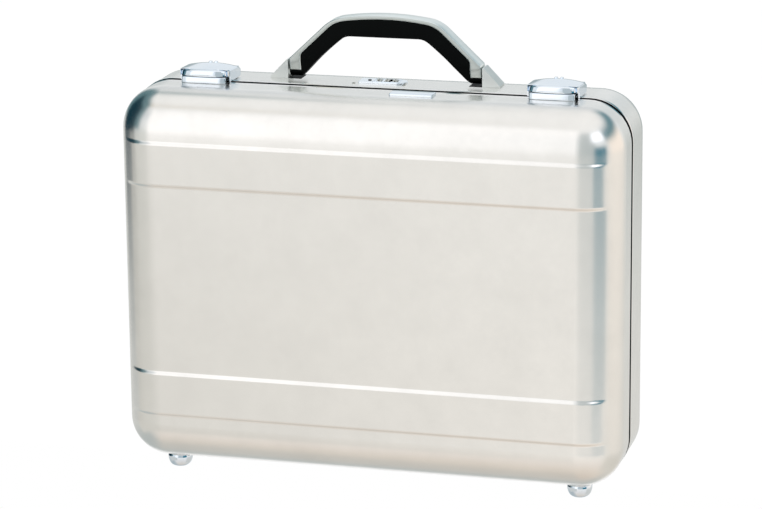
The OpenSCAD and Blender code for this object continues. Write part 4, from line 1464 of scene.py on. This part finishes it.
@dataclass
class Handle:
    """The lift handle: metal cover, black grip, brackets, pins and the pads under its feet.

    Attributes:
        x: Middle of the handle.
        y: Middle of its thickness.
        top: Height of its crown.
        crown_r: Radius of the crown.
        leg: Upper and lower end of the straight line along a leg.
        shoulder_r: Radius between crown and leg.
        cover_t: Thickness of the cover on the legs.
        crown_t: Thickness of the cover on the crown.
        cover_half: Half of the cover's thickness from front to rear.
        grip_half: The same of the grip.
        rear: What is left of both behind the middle.
        cheek_share: Shares that are left of the brackets' depth and height.
        toe_x: Outer end of the grip's feet.
        foot_in: Inside of the cover's upright feet.
        foot_bend: Radius of the bend above them.
        block_low: Lower end of the cover.
        pin_h: Height of the pins.
        pin_r: Radius of the pins.
        pin_in: Inner end of the pins.
        hub_r: Radius of the hubs' lower end.
        hub_top: Where the hubs begin.
        swing: How far the handle turns to each side, in degrees.
        clear: Clearance around the pins and over the shell.
        gap: Half of the finger gap: foot, end of the straight leg, the corner that the leg bends
            about, end of that bend, the corner below the crown, start of the straight top.
        pad: A pad under a foot, as two corners.
    """

    x: float = -1.8
    y: float = 38.0
    top: float = 60.45
    crown_r: float = 250.0
    leg: tuple[Point2, Point2] = ((49.5, 55.55), (88.8, 18.5))
    shoulder_r: float = 33.0
    cover_t: float = 3.7
    crown_t: float = 3.0
    cover_half: float = 10.5
    grip_half: float = 10.0
    rear: float = 6.6
    cheek_share: tuple[float, float] = (0.8, 0.92)
    toe_x: float = 89.7
    foot_in: float = 78.8
    foot_bend: float = 7.0
    block_low: float = 7.5
    pin_h: float = 8.6
    pin_r: float = 2.5
    pin_in: float = 74.2
    hub_r: float = 7.8
    hub_top: float = 16.5
    swing: float = 75.0
    clear: float = 0.3
    gap: tuple[Point2, ...] = (
        (78.6, 0.8), (65.5, 14.9), (55.5, 25.5), (41.0, 37.1), (36.6, 40.6), (32.0, 40.6))
    pad: tuple[Point3, Point3] = ((78.0, 28.2, -0.15), (89.9, 45.0, 0.25))

    def crown(self, x: float, off: float) -> float:
        """Height of the crowned top at a place, off inside its outside."""
        r = self.crown_r - off
        return self.top - self.crown_r + math.sqrt(r * r - x * x)

    def half_line(self, off: float, crown_off: float, foot: float, bend: float, low: float) -> list[Point2]:
        """Right half of a line along the handle: crown, rounded shoulder, leg, bend and foot.

        Args:
            off: Distance inside the handle's outside along the legs.
            crown_off: The same on the crown.
            foot: Where the upright foot stands.
            bend: Radius of the bend above the foot.
            low: Height of the line's end.

        Returns:
            Points from the middle of the top down to the foot.
        """
        (x0, h0), (x1, h1) = self.leg
        lean = math.atan2(h0 - h1, x1 - x0)
        drop = off / math.cos(lean)

        def leg_h(x: float) -> float:
            """Height of the leg's line."""
            return h0 + (x0 - x) * math.tan(lean) - drop

        knee = x0
        while self.crown(knee, crown_off) < leg_h(knee):
            knee += 0.05
        while self.crown(knee, crown_off) > leg_h(knee):
            knee -= 0.05
        slope = math.asin(knee / (self.crown_r - crown_off))
        reach = (self.shoulder_r - off) * math.tan((lean - slope) / 2)
        start = knee - reach * math.cos(slope)
        line = [(start * k / 10, self.crown(start * k / 10, crown_off)) for k in range(10)]
        end = knee + reach * math.cos(lean)
        line += self.rounded((start, self.crown(start, crown_off)), (knee, leg_h(knee)), (end, leg_h(end)), 8)
        turn = bend * math.tan((math.pi / 2 - lean) / 2)
        above = foot - turn * math.cos(lean)
        line += self.rounded((above, leg_h(above)), (foot, leg_h(foot)), (foot, leg_h(foot) - turn), 6)
        return line + [(foot, low)]

    @staticmethod
    def rounded(start: Point2, corner: Point2, end: Point2, steps: int) -> list[Point2]:
        """Points on the curve that touches start-corner and corner-end."""
        shares = [((1 - k / steps) ** 2, 2 * (k / steps) * (1 - k / steps), (k / steps) ** 2)
                  for k in range(steps + 1)]
        return [tuple(a * start[i] + b * corner[i] + c * end[i] for i in range(2)) for a, b, c in shares]

    def slab(self, name: str, outline: Sequence[Point2], cuts: Sequence[float],
             depth: Callable[[float], float]) -> bpy.types.Object:
        """A piece cut from the handle's thickness by an outline.

        Args:
            name: Name of the piece.
            outline: Closed front outline as (x, height) from the handle's middle.
            cuts: Heights at which its sides bend.
            depth: Half of its thickness at a height.

        Returns:
            The new object.
        """
        bm = bmesh.new()
        front = bm.faces.new([bm.verts.new((x, -1.0, h)) for x, h in outline])
        grown = bmesh.ops.extrude_face_region(bm, geom=[front])["geom"]
        for v in (g for g in grown if isinstance(g, bmesh.types.BMVert)):
            v.co.y = 1.0
        for h in cuts:
            bmesh.ops.bisect_plane(bm, geom=bm.verts[:] + bm.edges[:] + bm.faces[:],
                                   plane_co=(0, 0, h), plane_no=(0, 0, 1))
        for v in bm.verts:
            y = self.y + min(self.rear, v.co.y * depth(v.co.z))
            v.co = to_frame((self.x + v.co.x, y, CASE_H + v.co.z))
        return from_bmesh(name, bm)

    def cover_depth(self, h: float) -> float:
        """Half of the cover's thickness, narrowed below so that it clears the shell as it swings."""
        turn = math.radians(self.swing)
        room = (self.pin_h - self.clear + (h - self.pin_h) * math.cos(turn)) / math.sin(turn)
        return min(self.cover_half, room)

    def grip_depth(self, h: float) -> float:
        """Half of the grip's thickness, rounded about the pin below."""
        if h >= self.hub_top:
            return self.grip_half
        if h >= self.pin_h:
            share = (h - self.pin_h) / (self.hub_top - self.pin_h)
            return self.hub_r + (self.grip_half - self.hub_r) * share
        return math.sqrt(max(0.0, self.hub_r ** 2 - (self.pin_h - h) ** 2))

    def eased(self, obj: bpy.types.Object, width: float, angle: float, bore: float, inner: float) -> None:
        """Rounds a piece's edges and bores it for both pins.

        Args:
            obj: The piece.
            width: Radius of its edges.
            angle: Least bend in degrees of an edge that is rounded.
            bore: Radius of the bores.
            inner: Where the bores start, from the handle's middle.
        """
        soften(obj, width, angle, 4)
        settle(obj)
        drills = []
        for side in Side:
            start, end = (self.x + side.value * inner, self.y, CASE_H + self.pin_h), side.value * 30
            drills.append(lathe([(0, 0), (bore, 0), (bore, end), (0, end)], start, 0, 32))
        carve(obj, drills)

    def cover(self) -> None:
        """The bent metal cover."""
        outer = self.half_line(0.0, 0.0, self.leg[1][0], 3.0, self.block_low)
        inner = self.half_line(self.cover_t, self.crown_t, self.foot_in, self.foot_bend, self.block_low)
        left = [(-x, h) for x, h in inner[1:] + outer[:0:-1]]
        obj = self.slab("handle_shell", outer + inner[::-1] + left, (15.9,), self.cover_depth)
        self.eased(obj, 0.8, 30.0, self.pin_r + self.clear, self.foot_in - 10)
        dress(obj, Finish.COVER, "handle", ["handle_cover"])

    def grip(self) -> None:
        """The black grip with its hubs, in one moulding."""
        slip, (foot, leg, bend, corner, turn, top) = 0.05, self.gap
        low = self.block_low - slip
        inner = self.half_line(self.cover_t + slip, self.crown_t + slip, self.foot_in - slip,
                               self.foot_bend, low)
        gap = [foot, *self.rounded(leg, bend, corner, 6), *self.rounded(corner, turn, top, 4)[1:],
               (0.0, top[1])]
        right = inner + [(self.toe_x, low), (self.toe_x, foot[1]), *gap]
        left = [(-x, h) for x, h in right[-2:0:-1]]
        cuts = (self.hub_top, self.pin_h, 6.6, 4.6, 2.8, 1.6)
        obj = self.slab("handle_core", right + left, cuts, self.grip_depth)
        self.eased(obj, 1.2, 40.0, self.pin_r + 0.15, self.pin_in)
        dress(obj, Finish.GRIP, "handle", ["handle_grip", "handle_hub_left", "handle_hub_right"])
        obj.visible_glossy = False

    def cheek(self, side: Side) -> None:
        """One bracket, drawn in towards its lower front edge, with its pin and the pad beside it."""
        word = side.word
        cheek = reworked("handle_bracket_" + word, "handle_cheek_" + word, 0.7, Finish.BRACKET, "base")
        front, low = to_frame((0.0, self.y - self.cover_half, CASE_H)).yz
        for v in cheek.data.vertices:
            v.co.y = front + (v.co.y - front) * self.cheek_share[0]
            v.co.z = low + (v.co.z - low) * self.cheek_share[1]
        reworked("handle_pin_" + word, "handle_axle_" + word, 0.3, Finish.STEEL, "base")
        (x0, y0, h0), (x1, y1, h1) = self.pad
        ends = sorted((self.x + side.value * x0, self.x + side.value * x1))
        pad = RoundedBlock((ends[0], y0, CASE_H + h0), (ends[1], y1, CASE_H + h1), 0.12, (4, 4, 1), 2)
        dress(pad.solid().make("handle_pad_" + word, 60.0), Finish.GRIP, "base")

    def build(self) -> None:
        """Builds every piece of the handle."""
        self.cover()
        self.grip()
        for side in Side:
            self.cheek(side)


@dataclass
class Trim:
    """Blank plate, feet, hinges, rivets and the rail under the top.

    Attributes:
        badge: The blank plate, as two corners with heights over the shell.
        foot_x: The feet's distance from the case's middle.
        foot_y: Place of the front feet and of the rear feet.
        foot_r: Radius of a foot's dome.
        land_r: Radius of the flat that it stands on.
    """

    badge: tuple[Point3, Point3] = ((16.25, -25.0, -0.4), (55.75, -9.5, 2.6))
    foot_x: float = 188.5
    foot_y: tuple[float, float] = (-17.5, 26.0)
    foot_r: float = 11.4
    land_r: float = 5.0

    def plate(self) -> None:
        """The blank name plate, softly crowned."""
        (x0, y0, _), (x1, y1, _) = self.badge

        def crown(p: Point3) -> Point3:
            """Lowers the top towards its long edges."""
            across = (p[1] - (y0 + y1) / 2) / ((y1 - y0) / 2)
            return (p[0], p[1], CASE_H + p[2] - 0.45 * across ** 2 * smooth(0.5, 2.0, p[2]))

        block = RoundedBlock(*self.badge, 1.1, (12, 8, 1), 5).solid(crown)
        dress(block.make("blank_plate", 40.0), Finish.PLATE, "lid", ["badge_plate"])

    def foot(self, side: Side, half: Half) -> None:
        """One domed foot with its shank and its nut inside."""
        r, h, land = self.foot_r, FOOT_H, self.land_r
        dome = [(land + (r - land) * math.cos(t) ** 0.75, -4.4 - (h - 4.4) * math.sin(t) ** 1.15)
                for t in (math.radians(90 * k / 14) for k in range(15))]
        profile = [(0, 1.6), (3.0, 1.6), (3.0, 0.0), (r - 2.2, 0.0), (r - 1.9, -0.9), (r - 0.9, -1.6),
                   (r - 0.25, -2.6), *dome, (0, -h)]
        place = (side.value * self.foot_x, self.foot_y[half is Half.REAR], 0.0)
        solid = lathe(profile, place, 2, 72)
        solid.add(lathe([(0, 3.0), (4.4, 3.0), (5.0, 2.6), (5.0, 1.6), (0, 1.6)], place, 2, 6))
        name = f"foot_{half.word}_{side.word}"
        dress(solid.make(name.replace("foot", "stud_foot"), 34.0), Finish.PLATE, half.body, [name])

    def build(self) -> None:
        """Builds every piece of the trim."""
        self.plate()
        for side in Side:
            for half in Half:
                self.foot(side, half)
                node = f"hinge_leaf_{half.word}_{side.word}"
                reworked(node, node.replace("leaf", "plate"), 0.25, Finish.STEEL, half.body)
            reworked("hinge_pin_" + side.word, "hinge_rod_" + side.word, 0.25, Finish.STEEL, "base")
        for half in Half:
            reworked(half.word + "_rivets", half.word + "_rivets_set", 0.25, Finish.STEEL, half.body)
        keep("hardware_rail", Finish.STEEL)


# ---- camera, light and floor -------------------------------------------------------------


@dataclass(frozen=True)
class Panel:
    """A soft-edged light or dark panel around the case.

    Attributes:
        azimuth: Where its middle stands, in degrees from the front towards the right.
        height: Elevation of its middle in degrees.
        wide: Half of its width in degrees.
        tall: Half of its height in degrees.
        soft: Width of its fading edge in degrees.
        colour: sRGB hex colour.
        strength: Factor on the colour.
    """

    azimuth: float
    height: float
    wide: float
    tall: float
    soft: float
    colour: str
    strength: float = 1.0


@dataclass
class Studio:
    """Camera, pale floor and soft surroundings.

    Attributes:
        eye: Place of the camera in metres.
        yaw: Its turn to the left, in radians.
        pitch: How far it looks down.
        roll: Its turn about the line of sight.
        lens: Focal length in mm.
        sky: Colour of the surroundings at each elevation in degrees.
        panels: What stands around the case.
    """

    eye: Point3 = (0.7746, -2.8168, 0.9915)
    yaw: float = 0.2689
    pitch: float = 0.2629
    roll: float = -0.0103
    lens: float = 158.15
    sky: tuple[tuple[float, str], ...] = (
        (-90, "DACFC4"), (-60, "E8DFD5"), (-45, "EEE7E1"), (-17, "FFFCF8"), (-8, "DFE3E2"),
        (5, "EEF1F2"), (20, "EFF3F6"), (35, "D8DEE3"), (60, "FFFFFF"), (90, "FFFFFF"))
    panels: tuple[Panel, ...] = (
        Panel(-137, -46, 61, 2, 55, "B9C0C1"),  # dim ground behind on the left
        Panel(156, -37, 55, 5, 13, "FCFDFF", 1.1),  # bright ground behind on the right
        Panel(-103, 29, 41, 28, 7, "5F8189"),  # teal wall on the left
        Panel(-101, 13, 24, 26, 3, "002F3D"),  # dark opening in it
        Panel(21, 17, 22, 31, 3, "C1C9CB"),  # grey card in front
        Panel(57, -2, 16, 12, 3, "26758B"),  # blue card at the front right
        Panel(113, 13, 21, 16, 18, "FFF4EA", 1.08),  # warm screen on the right
        Panel(124, 34, 38, 2, 19, "4A7E8C"),  # blue edge over it
        Panel(55, 37, 18, 10, 3, "F3F6FF", 1.72),  # strong softbox, high at the front right
        Panel(-21, 23, 8, 29, 8, "FFFEFF", 1.27),  # tall strip light in front
        Panel(123, -38, 31, 6, 26, "DAD7D0"),  # dim ground on the right
        Panel(-56, -24, 38, 11, 4, "D7D6D1"),  # grey card, low at the front left
        Panel(-54, 60, 12, 2, 3, "D8D0C0"),  # small beige card overhead
        Panel(185, -3, 15, 9, 5, "A4B0B2"),  # grey card behind
    )

    def camera(self) -> None:
        """Makes the camera."""
        data = bpy.data.cameras.new("camera")
        data.sensor_width = 36.0
        data.lens = self.lens
        cam = bpy.data.objects.new("camera", data)
        turn = (Matrix.Rotation(self.yaw, 4, "Z") @ Matrix.Rotation(math.pi / 2 - self.pitch, 4, "X")
                @ Matrix.Rotation(self.roll, 4, "Z"))
        cam.matrix_world = Matrix.Translation(self.eye) @ turn
        bpy.context.scene.collection.objects.link(cam)
        bpy.context.scene.camera = cam

    def surroundings(self) -> None:
        """Makes the world: white behind the case, soft patches of light and shade around it."""
        world = bpy.data.worlds.new("soft_studio")
        bpy.context.scene.world = world
        world.use_nodes = True
        tree = world.node_tree
        tree.nodes.clear()
        way = add_node(tree, "VectorMath", {0: add_node(tree, "TexCoord").outputs["Generated"]},
                       operation="NORMALIZE")
        parts = add_node(tree, "SeparateXYZ", {0: way})
        front = add_node(tree, "Math", {0: parts.outputs["Y"], 1: -1.0}, operation="MULTIPLY")
        turn = add_node(tree, "Math", {0: parts.outputs["X"], 1: front}, operation="ARCTAN2")
        rise = add_node(tree, "Math", {0: parts.outputs["Z"]}, operation="ARCSINE")
        colour = self.sky_colour(tree, rise)
        for panel in self.panels:
            share = self.panel_share(tree, panel, turn, rise)
            lit = [c * panel.strength for c in linear(panel.colour)[:3]] + [1.0]
            colour = add_node(tree, "Mix", {"Factor": share, "A": colour, "B": lit}, data_type="RGBA")
        seen = add_node(tree, "LightPath").outputs["Is Camera Ray"]
        light = add_node(tree, "Background", {"Color": colour, "Strength": 1.0})
        white = add_node(tree, "Background", {"Color": (1.0, 1.0, 1.0, 1.0), "Strength": 1.0})
        both = add_node(tree, "MixShader", {0: seen, 1: light, 2: white})
        add_node(tree, "OutputWorld", {"Surface": both})

    def sky_colour(self, tree: bpy.types.NodeTree, rise: bpy.types.Node) -> bpy.types.Node:
        """Colour of the surroundings by elevation alone.

        Args:
            tree: Node tree of the world.
            rise: Elevation in radians.

        Returns:
            The colour's node.
        """
        share = add_node(tree, "MapRange", {"Value": rise, "From Min": -math.pi / 2, "From Max": math.pi / 2})
        ramp = add_node(tree, "ValToRGB", {"Fac": share})
        stops = ramp.color_ramp.elements
        while len(stops) < len(self.sky):
            stops.new(0.5)
        for stop, (height, colour) in zip(stops, self.sky):
            stop.position = (height + 90) / 180
            stop.color = linear(colour)
        return ramp

    def panel_share(self, tree: bpy.types.NodeTree, panel: Panel, turn: bpy.types.Node,
                    rise: bpy.types.Node) -> bpy.types.Node:
        """How much of a panel lies in a direction.

        Args:
            tree: Node tree of the world.
            panel: The panel.
            turn: Azimuth in radians.
            rise: Elevation in radians.

        Returns:
            The node of a share from 0 to 1.
        """
        shares = []
        for angle, middle, half in ((turn, panel.azimuth, panel.wide), (rise, panel.height, panel.tall)):
            apart = add_node(tree, "Math", {0: angle, 1: math.radians(middle)}, operation="SUBTRACT")
            around = add_node(tree, "Math", {0: apart, 1: math.pi, 2: -math.pi}, operation="WRAP")
            size = add_node(tree, "Math", {0: around}, operation="ABSOLUTE")
            shares.append(add_node(tree, "MapRange", {
                "Value": size, "From Min": math.radians(half + panel.soft),
                "From Max": math.radians(half)}, interpolation_type="SMOOTHSTEP"))
        return add_node(tree, "Math", {0: shares[0], 1: shares[1]}, operation="MULTIPLY")

    def floor(self) -> None:
        """Makes the pale floor, which starts under the rear half so that the lid can swing down."""
        mesh = bpy.data.meshes.new("floor")
        y0, y1, half = (PART_Y + 12.0) * MM, 2.5, 3.0
        mesh.from_pydata([(-half, y0, 0), (half, y0, 0), (half, y1, 0), (-half, y1, 0)], [], [(0, 1, 2, 3)])
        obj = bpy.data.objects.new("floor", mesh)
        bpy.context.scene.collection.objects.link(obj)
        mat = bpy.data.materials.new("white_paper_sweep")
        mat.use_nodes = True
        tree = mat.node_tree
        tree.nodes.clear()
        fibre = add_node(tree, "TexNoise", {"Vector": add_node(tree, "TexCoord").outputs["Object"],
                                            "Scale": per_mm(2.0)})
        glow = add_node(tree, "MapRange", {"Value": fibre, "To Min": 1.0, "To Max": 1.02})
        lit = add_node(tree, "Emission", {"Strength": glow})
        clear = add_node(tree, "BsdfTransparent")
        seen = add_node(tree, "LightPath").outputs["Is Camera Ray"]
        both = add_node(tree, "MixShader", {0: seen, 1: clear, 2: lit})
        add_node(tree, "OutputMaterial", {"Surface": both})
        obj.data.materials.append(mat)

    def build(self) -> None:
        """Builds the camera, the surroundings and the floor."""
        self.camera()
        self.surroundings()
        self.floor()
        bpy.context.scene.view_settings.view_transform = "Standard"


def main() -> None:
    """Builds the case's looks piece by piece."""
    logging.basicConfig(level=logging.INFO, format="%(message)s")
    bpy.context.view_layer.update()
    Studio().build()
    Shells().build()
    Interior().build()
    for side in Side:
        Latch(side).build()
    Lock().build()
    Handle().build()
    Trim().build()


if __name__ == "__main__":
    main()
